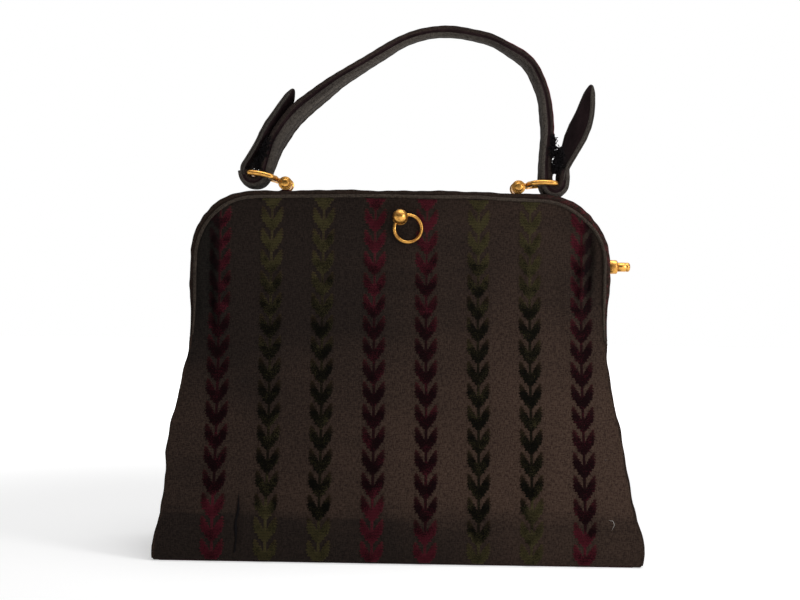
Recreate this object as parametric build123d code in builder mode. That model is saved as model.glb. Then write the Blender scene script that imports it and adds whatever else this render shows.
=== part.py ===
from build123d import *
import os
from math import cos, radians, sin, sqrt

# Frame handbag: a woven body on a hinged, cloth-covered metal frame, with one strap handle.
# Millimetres, +Z up, front towards -Y, origin on the floor under the middle of the base.

# Body: widths, depths and heights of its levels
base_width = 280.0
base_depth = 90.0
foot_tuck = 2.5
hip_height = 8.0
band_height = 27.0
flank_height = 65.0
waist_height = 118.0
band_pull = 0.25
flank_pull = 0.55
waist_pull = 1.06
waist_depth = 14.5
neck_depth = 8.5
foot_fullness = 0.6
band_fullness = 1.8
flank_fullness = 3.6
waist_fullness = 4.6
neck_fullness = 5.4
mouth_fullness = 5.4
rim_fullness = 0.25

# Cloth, lining and boards
cloth_thickness = 1.5
gusset_thickness = 1.2
lining_thickness = 0.8
facing_thickness = 0.7
base_thickness = 2.0
board_thickness = 1.5
seam_gap = 0.3
cloth_setback = 0.5
board_margin = 2.0
board_corner = 3.0
foot_fold = 0.4
hip_fold = 0.8
band_fold = 3.0
flank_fold = 6.0
waist_fold = 9.0
neck_fold = 10.0

# Frame: two hinged halves of bent channel, each wrapped in cloth
frame_width = 250.0
frame_rise = 59.5
frame_corner = 40.0
frame_depth = 8.0
frame_wall = 0.8
flange_reach = 4.0
parting_gap = 0.3
cover_thickness = 0.8
cover_roll = 2.2
frame_roll = 1.5
piping_diameter = 2.4
piping_stand = 0.8
hinge_height = 154.0
hinge_drop = 4.0
ear_radius = 3.6
ear_thickness = 0.8
ear_reach = 11.0
ear_gap = 0.2
ear_inset = 0.4
rivet_radius = 1.2
rivet_head_radius = 2.2
rivet_head = 0.6
running_gap = 0.05

# Where the front cloth bends when the frame opens: the upper cloth swings over the lower
bend_rise = 27.0
bend_gap = 0.3
bend_inset = 6.9
shoulder_drop = 7.6

# Leaf chains of raised pile
column_count = 8
column_spacing = 30.0
leaf_width = 12.4
leaf_pitch = 12.8
leaf_gap = 0.5
leaf_first = 6.8
pile_height = 0.45
pile_gap = 0.12
stem_width = 1.3

# Pull stud and ring at the top of the front
stud_x = -0.7
stud_drop = 13.9
stud_shank_radius = 1.2
stud_flange_radius = 4.6
stud_flange = 0.8
stud_stand = 0.9
neck_radius = 2.4
ball_radius = 4.5
ball_gap = 0.32
ring_radius = 8.1
ring_wire_radius = 0.98
ring_lean = 35.8
ring_stand = 3.4
eye_radius = 1.45
washer_radius = 3.0
washer_thickness = 0.5

# Lock with a push button on the right limb
lock_rise = 18.6
lock_depth = 3.3
collar_radius = 4.2
collar_length = 5.6
collar_stand = 0.3
collar_chamfer = 0.4
spigot_radius = 2.4
collar_floor = 0.6
button_radius = 2.8
button_out = 7.9
button_travel = 2.5
button_round = 1.5
stem_radius = 0.8
stem_back = 8.9
slide_gap = 0.08
shoulder_radius = 1.4
shoulder_thickness = 0.8
shoulder_gap = 0.6
case_length = 6.4
case_gap = 0.35
case_half_height = 5.0
case_half_depth = 2.0
case_wall = 0.5
spring_radius = 1.15
spring_wire_radius = 0.18
spring_turns = 3
tongue_width = 4.0
tongue_thickness = 1.0
tongue_rise = 3.8
tongue_gap = 0.5
tongue_round = 1.5

# Handle posts, stirrups and strap
post_x = 70.1
pivot_rise = 6.0
knuckle_radius = 3.5
post_knuckle = 3.4
stirrup_knuckle = 3.6
knuckle_gap = 0.2
post_foot_length = 12.0
post_foot_width = 7.0
post_foot = 1.0
post_corner = 1.5
post_neck = 3.2
mound_length = 21.0
mound_width = 8.2
mound_top_length = 10.0
mound_height = 2.2
mound_corner = 3.0
pin_radius = 1.2
pin_head_radius = 4.1
pin_dome_radius = 3.5
pin_head = 0.8
pin_dome = 1.7
dome_flat = 0.1
stirrup_wire = 3.2
stirrup_reach = 22.2
stirrup_bend = 2.2
stirrup_neck = 5.3
stirrup_spread = 8.8
left_rest_angle = 15.4
right_rest_angle = 6.2
strap_width = 20.0
strap_thickness = 5.8
strap_slack = 0.7
left_loop_sag = 0.6
strap_side_gap = 0.35
strap_groove = 0.9
strap_groove_depth = 1.2
tail_taper = 26.0
tail_tip_width = 3.0
tail_bulge = 0.74
tail_bulge_place = 0.6

# Values worked out from the sizes above
base_half = base_width / 2
frame_half = frame_width / 2
frame_top = hinge_height + frame_rise
stud_height = frame_top - stud_drop
lock_height = hinge_height + lock_rise
pivot_height = frame_top + pivot_rise
depth_half = base_depth / 2
limb_end = hinge_height + hinge_drop
shoulder_height = hinge_height - shoulder_drop
frame_front = parting_gap + frame_depth
cover_front = frame_front + cover_thickness
edge_inset = cover_thickness + frame_wall + seam_gap
cloth_face = frame_front - frame_wall - cloth_setback
cloth_top = frame_top - edge_inset
cloth_half = frame_half - edge_inset
facing_front = cloth_face - cloth_thickness - seam_gap
facing_back = facing_front - facing_thickness
base_narrowing = base_half - frame_half
bend_half = frame_half - bend_inset


def pulled_in(share):
    """Half width of the front between the base, at 0, and the frame, at 1."""
    return base_half - share * base_narrowing


# Each level: height, half width, half depth at the sides, fullness at mid width, gusset fold
body_levels = [
    (0.0, base_half - foot_tuck, depth_half, foot_fullness, foot_fold),
    (hip_height, base_half, depth_half, foot_fullness, hip_fold),
    (band_height, pulled_in(band_pull), depth_half, band_fullness, band_fold),
    (flank_height, pulled_in(flank_pull), 0, flank_fullness, flank_fold),
    (waist_height, pulled_in(waist_pull), waist_depth, waist_fullness, waist_fold),
    (shoulder_height, cloth_half, neck_depth, neck_fullness, neck_fold),
    (limb_end, cloth_half, cloth_face, mouth_fullness, neck_fold),
    (cloth_top, cloth_half, cloth_face, rim_fullness, neck_fold),
]
flank_share = (flank_height - band_height) / (waist_height - band_height)
flank_depth = depth_half + flank_share * (waist_depth - depth_half)
body_levels[3] = (flank_height, pulled_in(flank_pull), flank_depth, flank_fullness, flank_fold)


def level_at(height):
    """Half width, side half depth, middle half depth and fold of the body at a height."""
    for low, high in zip(body_levels, body_levels[1:]):
        if height <= high[0]:
            break
    share = (height - low[0]) / (high[0] - low[0])
    half, side, fullness, fold = [a + share * (b - a) for a, b in zip(low[1:], high[1:])]
    return half, side, side + fullness, fold


def face_depth(x, height):
    """Distance of the outer cloth face from the middle plane, at a point of the front."""
    half, side, middle, fold = level_at(height)
    return side + (middle - side) * (1 - (x / half) ** 2)


def draw_cloth(height):
    """One level of the front cloth, between its outer and its inner arc."""
    half, side, middle, fold = level_at(height)
    inner_side = side - cloth_thickness
    inner_middle = middle - cloth_thickness
    with BuildLine() as outline:
        ThreePointArc((-half, -side), (0, -middle), (half, -side))
        Line((half, -side), (half, -inner_side))
        ThreePointArc((half, -inner_side), (0, -inner_middle), (-half, -inner_side))
        Line((-half, -inner_side), (-half, -side))
    make_face(outline.edges())


def draw_inside(height, inset):
    """One level of the space inside the panels and the folded gussets."""
    half, side, middle, fold = level_at(height)
    y_side = side - cloth_thickness - seam_gap - inset
    y_middle = middle - cloth_thickness - seam_gap - inset
    x_side = half - gusset_thickness - seam_gap - inset
    x_fold = x_side - fold - seam_gap
    with BuildLine() as outline:
        ThreePointArc((-x_side, -y_side), (0, -y_middle), (x_side, -y_side))
        Polyline((x_side, -y_side), (x_fold, 0), (x_side, y_side))
        ThreePointArc((x_side, y_side), (0, y_middle), (-x_side, y_side))
        Polyline((-x_side, y_side), (-x_fold, 0), (-x_side, -y_side))
    make_face(outline.edges())


def draw_arch(inset, bottom, mode=Mode.ADD):
    """The frame's outline seen from the front, moved inwards by an inset."""
    half = frame_half - inset
    top = frame_top - inset
    with BuildLine() as outline:
        FilletPolyline(
            (-half, bottom), (-half, top), (half, top), (half, bottom), radius=frame_corner - inset
        )
        Line((half, bottom), (-half, bottom))
    make_face(outline.edges(), mode=mode)


def draw_box(low, high, mode=Mode.ADD):
    """A rectangle between two corners."""
    with Locations(((low[0] + high[0]) / 2, (low[1] + high[1]) / 2)):
        Rectangle(abs(high[0] - low[0]), abs(high[1] - low[1]), mode=mode)


def front_plane(depth):
    """The plane of the front view, at a distance in front of the middle plane."""
    return Plane.XZ.offset(depth)


def keep(part, name):
    """Label a finished piece and write it."""
    part.label = name
    export_step(part, f"parts/{name}.step")


def behind(part):
    """The same piece at the back of the bag."""
    return mirror(part, about=Plane.XZ)


def at_left(part):
    """The same piece at the left side."""
    return mirror(part, about=Plane.YZ)


os.makedirs("parts", exist_ok=True)

# The whole front cloth, before it is divided at its bend
with BuildPart() as front_cloth:
    for level in body_levels:
        with BuildSketch(Plane.XY.offset(level[0])):
            draw_cloth(level[0])
    loft(ruled=True)


def draw_bend(gap):
    """Everything below the sloping bend line, seen from the side."""
    crest = hinge_height + bend_rise + gap
    reach = base_depth
    with BuildLine() as outline:
        Polyline((0, crest), (-reach, crest - reach), (-reach, 0), (0, 0), close=True)
    make_face(outline.edges())


with BuildPart() as lower_zone:
    with BuildSketch(Plane.YZ):
        draw_bend(0)
    extrude(amount=bend_half, both=True)
    with BuildSketch(Plane.XY):
        Rectangle(base_width, 2 * base_depth)
    extrude(amount=shoulder_height)

with BuildPart() as swing_zone:
    with BuildSketch(Plane.YZ):
        draw_bend(bend_gap * sqrt(2))
    extrude(amount=bend_half + bend_gap, both=True)

with BuildPart() as front_panel:
    add(front_cloth.part)
    add(lower_zone.part, mode=Mode.INTERSECT)

with BuildPart() as front_panel_top:
    with BuildSketch(front_plane(0)):
        draw_arch(edge_inset, limb_end)
    extrude(amount=depth_half)
    add(front_cloth.part, mode=Mode.INTERSECT)
    add(swing_zone.part, mode=Mode.SUBTRACT)
    with BuildSketch(front_plane(0)):
        with Locations((stud_x, stud_height)):
            Circle(stud_shank_radius + running_gap)
    extrude(amount=depth_half, mode=Mode.SUBTRACT)

with BuildPart() as front_facing:
    with BuildSketch(front_plane(facing_back)):
        draw_arch(edge_inset, limb_end)
    extrude(amount=facing_thickness)
    add(swing_zone.part, mode=Mode.SUBTRACT)
    with BuildSketch(front_plane(facing_back)):
        with Locations((stud_x, stud_height)):
            Circle(stud_shank_radius + running_gap)
    extrude(amount=facing_thickness, mode=Mode.SUBTRACT)

with BuildPart() as back_panel:
    with BuildSketch(front_plane(0)):
        draw_arch(edge_inset, limb_end)
        draw_box((-base_half, 0), (base_half, limb_end))
    extrude(amount=2 * base_depth)
    add(front_cloth.part, mode=Mode.INTERSECT)

keep(front_panel.part, "front_panel")
keep(front_panel_top.part, "front_panel_top")
keep(front_facing.part, "front_facing")
keep(behind(back_panel.part), "back_panel")

# Lock position, used by the pieces that it passes through
lock_origin = (0, lock_depth, lock_height)
lock_axis = Axis(lock_origin, (1, 0, 0))
case_end = frame_half - cover_thickness - frame_wall
case_start = case_end - case_length

# Lining edge of the back half, cut away round the lock case
with BuildPart() as back_facing:
    with BuildSketch(front_plane(-facing_back)):
        draw_arch(edge_inset, shoulder_height + seam_gap)
        draw_box(
            (case_start - seam_gap, lock_height - case_half_height - seam_gap),
            (frame_half, lock_height + case_half_height + seam_gap),
            mode=Mode.SUBTRACT,
        )
    extrude(amount=-facing_thickness)
keep(back_facing.part, "back_facing")

# Gussets, flat at the floor and folded inwards towards the hinge
gusset_levels = [level for level in body_levels if level[0] <= shoulder_height]
with BuildPart() as right_gusset:
    for level in gusset_levels:
        half, side, middle, fold = level_at(level[0])
        end = side - cloth_thickness - seam_gap
        inner = half - gusset_thickness
        with BuildSketch(Plane.XY.offset(level[0])):
            with BuildLine():
                Polyline(
                    (half, -end), (half - fold, 0), (half, end),
                    (inner, end), (inner - fold, 0), (inner, -end),
                    close=True,
                )
            make_face()
    loft(ruled=True)
keep(right_gusset.part, "right_gusset")
keep(at_left(right_gusset.part), "left_gusset")

# Base panel and the card board that stiffens it
floor_half = base_half - foot_tuck - gusset_thickness - hip_fold - seam_gap
floor_depth = depth_half - cloth_thickness - seam_gap
with BuildPart() as base_panel:
    with BuildSketch(Plane.XY):
        Rectangle(2 * floor_half, 2 * floor_depth)
    extrude(amount=base_thickness)
with BuildPart() as base_board:
    with BuildSketch(Plane.XY.offset(base_thickness)):
        RectangleRounded(
            2 * (floor_half - board_margin), 2 * (floor_depth - board_margin), board_corner
        )
    extrude(amount=board_thickness)
keep(base_panel.part, "base_panel")
keep(base_board.part, "base_board")

# Lining, an open tub that follows the panels and gussets
lining_floor = base_thickness + board_thickness + seam_gap
lining_top = shoulder_height - seam_gap
between = [level[0] for level in body_levels if lining_floor < level[0] < lining_top]
with BuildPart() as lining:
    for height in [lining_floor, *between, lining_top]:
        with BuildSketch(Plane.XY.offset(height)):
            draw_inside(height, 0)
    loft(ruled=True)
    for height in [lining_floor + lining_thickness, *between, lining_top]:
        with BuildSketch(Plane.XY.offset(height)):
            draw_inside(height, lining_thickness)
    loft(ruled=True, mode=Mode.SUBTRACT)
keep(lining.part, "lining")

# Frame halves: channel bent to an arch, open inwards, with an ear at each limb end
with BuildPart() as frame_core:
    with BuildSketch(front_plane(parting_gap)):
        draw_arch(cover_thickness, limb_end)
    extrude(amount=frame_depth)
    rim = frame_core.faces().sort_by(Axis.Y)[0].edges().sort_by(Axis.Z)[1:]
    fillet(rim, frame_roll)


def frame_half_part(ear_start):
    """A channel half with ears that start at a distance from the middle."""
    with BuildPart() as channel:
        add(frame_core.part)
        with BuildSketch(front_plane(0)):
            draw_arch(flange_reach, limb_end)
        extrude(amount=2 * frame_depth, mode=Mode.SUBTRACT)
        with BuildSketch(front_plane(parting_gap + frame_wall)):
            draw_arch(cover_thickness + frame_wall, limb_end)
        extrude(amount=frame_depth - 2 * frame_wall, mode=Mode.SUBTRACT)
        for start in (ear_start, -ear_start - ear_thickness):
            with BuildSketch(Plane.YZ.offset(start)):
                with Locations((0, hinge_height)):
                    Circle(ear_radius)
                draw_box(
                    (-facing_back + seam_gap, hinge_height),
                    (-parting_gap - frame_wall, hinge_height + ear_reach),
                )
                with Locations((0, hinge_height)):
                    Circle(rivet_radius + running_gap, mode=Mode.SUBTRACT)
            extrude(amount=ear_thickness)
    return channel.part


inner_ear = frame_half - flange_reach + ear_inset
outer_ear = inner_ear + ear_thickness + ear_gap
front_half = frame_half_part(inner_ear)
back_half = frame_half_part(outer_ear)

with BuildPart() as back_frame:
    add(behind(back_half))
    with BuildSketch(Plane.YZ.offset(case_end)):
        with Locations((lock_depth, lock_height)):
            Circle(stem_radius + 3 * slide_gap)
    extrude(amount=frame_wall, mode=Mode.SUBTRACT)

with BuildPart() as catch_tongue:
    with BuildSketch(Plane.XY.offset(lock_height + tongue_rise)):
        draw_box(
            (case_start - tongue_width - tongue_gap, -facing_back + seam_gap),
            (case_end - case_gap, -parting_gap - frame_wall - seam_gap),
        )
        draw_box(
            (case_start - tongue_width - tongue_gap, -facing_back + seam_gap),
            (case_start - tongue_gap, facing_back - seam_gap),
        )
    extrude(amount=tongue_thickness)
    tip = catch_tongue.edges().filter_by(Axis.Z).group_by(Axis.Y)[-1]
    fillet(tip, tongue_round)

keep(front_half, "front_frame")
keep(back_frame.part, "back_frame")
keep(catch_tongue.part, "catch_tongue")

# Cloth cover of each frame half, rolled over its outer edge
with BuildPart() as frame_cover:
    with BuildSketch(front_plane(parting_gap)):
        draw_arch(0, limb_end)
    extrude(amount=frame_depth + cover_thickness)
    rim = frame_cover.faces().sort_by(Axis.Y)[0].edges().sort_by(Axis.Z)[1:]
    fillet(rim, cover_roll)
    add(frame_core.part, mode=Mode.SUBTRACT)
    with BuildSketch(front_plane(0)):
        draw_arch(flange_reach, limb_end)
    extrude(amount=2 * cover_front, mode=Mode.SUBTRACT)

with BuildPart() as back_cover:
    add(behind(frame_cover.part))
    with BuildSketch(Plane.YZ.offset(frame_half - cover_thickness)):
        with Locations((lock_depth, lock_height)):
            Circle(spigot_radius + running_gap)
    extrude(amount=cover_thickness, mode=Mode.SUBTRACT)

keep(frame_cover.part, "front_frame_cover")
keep(back_cover.part, "back_frame_cover")

# Piping between the frame cover and the cloth
piping_radius = piping_diameter / 2
piping_inset = flange_reach + piping_radius + running_gap
piping_half = frame_half - piping_inset
piping_top = frame_top - piping_inset
with BuildPart() as piping:
    with BuildLine(front_plane(cloth_face + piping_radius + piping_stand)) as piping_path:
        FilletPolyline(
            (-piping_half, limb_end), (-piping_half, piping_top),
            (piping_half, piping_top), (piping_half, limb_end),
            radius=frame_corner - piping_inset,
        )
    with BuildSketch(Plane(origin=piping_path.line @ 0, z_dir=piping_path.line % 0)):
        Circle(piping_radius)
    sweep()
keep(piping.part, "front_piping")
keep(behind(piping.part), "back_piping")

# Hinge rivets through the two ears of each side
rivet_span = outer_ear + ear_thickness - inner_ear
with BuildPart() as right_hinge_rivet:
    with BuildSketch(Plane.YZ.offset(inner_ear - rivet_head)):
        with Locations((0, hinge_height)):
            Circle(rivet_head_radius)
    extrude(amount=rivet_head)
    with BuildSketch(Plane.YZ.offset(inner_ear)):
        with Locations((0, hinge_height)):
            Circle(rivet_radius)
    extrude(amount=rivet_span)
    with BuildSketch(Plane.YZ.offset(inner_ear + rivet_span)):
        with Locations((0, hinge_height)):
            Circle(rivet_head_radius)
    extrude(amount=rivet_head)
keep(right_hinge_rivet.part, "right_hinge_rivet")
keep(at_left(right_hinge_rivet.part), "left_hinge_rivet")

# Lock: case, collar, button with its stem, and return spring
with BuildPart() as lock_case:
    with BuildSketch(Plane.YZ.offset(case_start)):
        with Locations((lock_depth, lock_height)):
            Rectangle(2 * case_half_depth, 2 * case_half_height)
    extrude(amount=case_length - case_gap)
    with BuildSketch(Plane.YZ.offset(case_start + frame_wall)):
        with Locations((lock_depth, lock_height)):
            Rectangle(2 * (case_half_depth - case_wall), 2 * (case_half_height - case_wall))
    extrude(amount=case_length, mode=Mode.SUBTRACT)
    with BuildSketch(Plane.YZ.offset(case_start)):
        with Locations((lock_depth, lock_height)):
            Circle(stem_radius + slide_gap)
    extrude(amount=frame_wall, mode=Mode.SUBTRACT)

collar_start = frame_half + collar_stand
collar_end = collar_start + collar_length
bore_floor = collar_start + collar_floor
with BuildPart() as button_collar:
    with BuildSketch(Plane(origin=lock_origin)):
        with BuildLine():
            Polyline(
                (frame_half - cover_thickness, stem_radius + slide_gap),
                (frame_half - cover_thickness, spigot_radius),
                (collar_start, spigot_radius),
                (collar_start, collar_radius),
                (collar_end, collar_radius),
                (collar_end, button_radius + slide_gap),
                (bore_floor, button_radius + slide_gap),
                (bore_floor, stem_radius + slide_gap),
                close=True,
            )
        make_face()
    revolve(axis=lock_axis)
    chamfer(button_collar.edges().group_by(Axis.X)[-1], collar_chamfer)

button_end = collar_end + button_out
button_back = bore_floor + button_travel
shoulder_x = case_end - shoulder_gap
stem_start = case_end - stem_back
with BuildPart() as push_button:
    with BuildSketch(Plane(origin=lock_origin)):
        with BuildLine():
            Polyline(
                (button_end - button_round, 0), (stem_start, 0), (stem_start, stem_radius),
                (shoulder_x - shoulder_thickness, stem_radius),
                (shoulder_x - shoulder_thickness, shoulder_radius),
                (shoulder_x, shoulder_radius), (shoulder_x, stem_radius),
                (button_back, stem_radius), (button_back, button_radius),
                (button_end - button_round, button_radius), close=True,
            )
        make_face()
        with BuildLine():
            Line((button_end - button_round, 0), (button_end, 0))
            Line((button_end, 0), (button_end, button_radius - button_round))
            RadiusArc(
                (button_end, button_radius - button_round),
                (button_end - button_round, button_radius), -button_round,
            )
            Line((button_end - button_round, button_radius), (button_end - button_round, 0))
        make_face()
    revolve(axis=lock_axis)

spring_start = case_start + frame_wall + spring_wire_radius + running_gap
spring_length = shoulder_x - shoulder_thickness - spring_start - spring_wire_radius - running_gap
with BuildPart() as button_spring:
    with BuildLine() as coil:
        Helix(
            spring_length / spring_turns, spring_length, spring_radius,
            center=(spring_start, lock_depth, lock_height), direction=(1, 0, 0),
        )
    with BuildSketch(Plane(origin=coil.line @ 0, z_dir=coil.line % 0)):
        Circle(spring_wire_radius)
    sweep(is_frenet=True)

keep(lock_case.part, "lock_case")
keep(button_collar.part, "button_collar")
keep(push_button.part, "push_button")
keep(button_spring.part, "button_spring")

# Pull stud with its ball, its washer inside the bag, and the ring through its neck
stud_face = face_depth(stud_x, stud_height) + stud_stand
flange_front = stud_face + stud_flange
ring_depth = face_depth(stud_x, stud_height) + ring_stand
ball_depth = ring_depth + ball_radius + ring_wire_radius + ball_gap
ball_seat = ball_depth - sqrt(ball_radius**2 - neck_radius**2)
shank_end = facing_back - washer_thickness - seam_gap
stud_origin = (stud_x, 0, stud_height)
with BuildPart() as pull_stud:
    with BuildSketch(Plane(origin=stud_origin)):
        with BuildLine():
            Polyline(
                (0, -shank_end), (stud_shank_radius, -shank_end),
                (stud_shank_radius, -stud_face), (stud_flange_radius, -stud_face),
                (stud_flange_radius, -flange_front), (neck_radius, -flange_front),
                (neck_radius, -ball_seat),
            )
            ThreePointArc(
                (neck_radius, -ball_seat), (ball_radius, -ball_depth),
                (0, -ball_depth - ball_radius),
            )
            Line((0, -ball_depth - ball_radius), (0, -shank_end))
        make_face()
    revolve(axis=Axis(stud_origin, (0, 1, 0)))
    ring_eye = Vector(stud_x, -ring_depth, stud_height)
    ring_along = Vector(cos(radians(ring_lean)), 0, sin(radians(ring_lean)))
    with BuildSketch(Plane(origin=ring_eye, z_dir=ring_along)):
        Circle(eye_radius)
    extrude(amount=ball_radius, both=True, mode=Mode.SUBTRACT)

ring_down = Vector(sin(radians(ring_lean)), 0, -cos(radians(ring_lean)))
with BuildPart(Plane(origin=ring_eye + ring_down * ring_radius, z_dir=(0, -1, 0))) as pull_ring:
    Torus(ring_radius, ring_wire_radius)

with BuildPart() as stud_washer:
    with BuildSketch(front_plane(facing_back - washer_thickness)):
        with Locations((stud_x, stud_height)):
            Circle(washer_radius)
            Circle(stud_shank_radius + running_gap, mode=Mode.SUBTRACT)
    extrude(amount=washer_thickness)

keep(pull_stud.part, "pull_stud")
keep(pull_ring.part, "pull_ring")
keep(stud_washer.part, "stud_washer")

# Handle posts on the back frame half, with the cloth mound round each foot
handle_depth = parting_gap + (frame_depth + cover_thickness) / 2
pivot = Vector(post_x, handle_depth, pivot_height)
with BuildPart() as right_post:
    with BuildSketch(Plane(origin=(post_x, handle_depth, frame_top))):
        RectangleRounded(post_foot_length, post_foot_width, post_corner)
    extrude(amount=post_foot)
    with BuildSketch(Plane.XZ.offset(-handle_depth)):
        draw_box(
            (post_x - post_neck / 2, frame_top + post_foot), (post_x + post_neck / 2, pivot_height)
        )
        with Locations((post_x, pivot_height)):
            Circle(knuckle_radius)
            Circle(pin_radius + running_gap, mode=Mode.SUBTRACT)
    extrude(amount=post_knuckle, both=True)

with BuildPart() as right_mound:
    with BuildSketch(Plane(origin=(post_x, handle_depth, frame_top))):
        RectangleRounded(mound_length, mound_width, mound_corner)
    with BuildSketch(Plane(origin=(post_x, handle_depth, frame_top + mound_height))):
        RectangleRounded(mound_top_length, post_foot_width, mound_corner)
    loft()
    with BuildSketch(Plane(origin=(post_x, handle_depth, frame_top))):
        RectangleRounded(post_foot_length, post_foot_width, post_corner)
    extrude(amount=post_foot, mode=Mode.SUBTRACT)
    with BuildSketch(Plane(origin=(post_x, handle_depth, frame_top))):
        Rectangle(post_neck, 2 * post_knuckle)
    extrude(amount=mound_height, mode=Mode.SUBTRACT)
    with BuildSketch(Plane.XZ.offset(-handle_depth)):
        with Locations((post_x, pivot_height)):
            Circle(knuckle_radius + running_gap)
    extrude(amount=mound_width, both=True, mode=Mode.SUBTRACT)

# Domed pin through the post and the stirrup's knuckles
pin_half = post_knuckle + knuckle_gap + stirrup_knuckle + knuckle_gap
head_end = pin_half + pin_head
with BuildPart() as right_pin:
    with BuildSketch(Plane.XZ.offset(-handle_depth)):
        with Locations((post_x, pivot_height)):
            Circle(pin_radius)
    extrude(amount=pin_half, both=True)
    for way in (-1, 1):
        with BuildSketch(Plane.XZ.offset(-handle_depth - way * pin_half)):
            with Locations((post_x, pivot_height)):
                Circle(pin_head_radius)
        extrude(amount=-way * pin_head)
        with BuildSketch(Plane.XZ.offset(-handle_depth - way * head_end)):
            with Locations((post_x, pivot_height)):
                Circle(pin_dome_radius)
        extrude(amount=-way * pin_dome)
    fillet(right_pin.faces().sort_by(Axis.Y)[0].edges(), pin_dome - dome_flat)
    fillet(right_pin.faces().sort_by(Axis.Y)[-1].edges(), pin_dome - dome_flat)

keep(right_post.part, "right_handle_post")
keep(at_left(right_post.part), "left_handle_post")
keep(right_mound.part, "right_post_mound")
keep(at_left(right_mound.part), "left_post_mound")
keep(right_pin.part, "right_stirrup_pin")
keep(at_left(right_pin.part), "left_stirrup_pin")


def stirrup(angle):
    """The right stirrup, raised by an angle from level."""
    out = Vector(cos(radians(angle)), 0, sin(radians(angle)))
    up = Vector(-sin(radians(angle)), 0, cos(radians(angle)))
    arm = strap_width / 2 + strap_side_gap + stirrup_wire / 2
    root = post_knuckle + knuckle_gap + stirrup_knuckle / 2
    start = (pin_radius + knuckle_radius) / 2
    with BuildPart() as loop:
        with BuildLine(Plane(origin=pivot, x_dir=out, z_dir=up)) as route:
            FilletPolyline(
                (start, root), (stirrup_neck, root), (stirrup_spread, arm),
                (stirrup_reach, arm), (stirrup_reach, -arm), (stirrup_spread, -arm),
                (stirrup_neck, -root), (start, -root),
                radius=stirrup_bend,
            )
        with BuildSketch(Plane(origin=route.line @ 0, z_dir=route.line % 0)):
            Circle(stirrup_wire / 2)
        sweep()
        for way in (-1, 1):
            offset_y = handle_depth + way * (root - stirrup_knuckle / 2)
            with BuildSketch(Plane.XZ.offset(-offset_y)):
                with Locations((post_x, pivot_height)):
                    Circle(knuckle_radius)
            extrude(amount=-way * stirrup_knuckle)
        with BuildSketch(Plane.XZ.offset(-handle_depth)):
            with Locations((post_x, pivot_height)):
                Circle(pin_radius + running_gap)
        extrude(amount=strap_width, both=True, mode=Mode.SUBTRACT)
    return loop.part


keep(stirrup(right_rest_angle), "right_stirrup")
keep(at_left(stirrup(left_rest_angle)), "left_stirrup")

# Strap: its line seen from the front, from the right loop over the top to the left loop.
# The arch is given as shares of the post's place and as rises above the pivot.
right_bar_x = post_x + stirrup_reach * cos(radians(right_rest_angle))
right_bar_z = pivot_height + stirrup_reach * sin(radians(right_rest_angle))
left_bar_x = -post_x - stirrup_reach * cos(radians(left_rest_angle))
left_bar_z = pivot_height + stirrup_reach * sin(radians(left_rest_angle))
loop_radius = strap_thickness / 2 + stirrup_wire / 2 + strap_slack
right_loop_low = right_bar_z - loop_radius
left_loop_low = left_bar_z - loop_radius - left_loop_sag
left_outer = left_bar_x - loop_radius
strap_arch = [
    (1.2525, 34.5),
    (1.2183, 56.5),
    (1.0913, 77.5),
    (0.7561, 91.5),
    (0.3566, 95.9),
    (0.0285, 89.8),
    (-0.5706, 62.0),
    (-0.9415, 42.0),
    (-1.0842, 24.5),
]
strap_line = [
    (right_bar_x + loop_radius, right_bar_z + 9),
    (right_bar_x + loop_radius, right_loop_low),
    (right_bar_x - loop_radius, right_loop_low),
    (right_bar_x - loop_radius - 0.6, right_bar_z + 12),
    *[(share * post_x, pivot_height + rise) for share, rise in strap_arch],
    (left_bar_x + 9.4, left_bar_z + 2.5),
    (left_bar_x + 6.0, left_loop_low + 0.4),
    (left_outer + 0.6, left_loop_low - 0.4),
    (left_outer - 0.2, left_bar_z + 1.5),
]
strap_radii = [
    loop_radius - 0.1, loop_radius - 0.1, 40, 45, 45, 26, 34, 60, 60, 90, 60, 30, 22, 4.4, 4.4,
]
right_tail = [
    (right_bar_x + loop_radius, right_bar_z + 2),
    (right_bar_x + loop_radius, right_bar_z + 10),
    (right_bar_x + 10.33, pivot_height + 25.5),
    (right_bar_x + 17.83, pivot_height + 44.5),
    (right_bar_x + 21.73, pivot_height + 63.5),
]
left_tail = [
    (left_outer - 0.1, left_bar_z - 1),
    (left_outer - 0.2, left_bar_z + 3.2),
    (left_bar_x + 1.70, pivot_height + 14.5),
    (left_bar_x + 8.90, pivot_height + 24.0),
    (left_bar_x + 16.90, pivot_height + 39.5),
    (left_bar_x + 25.20, pivot_height + 57.8),
]


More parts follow.
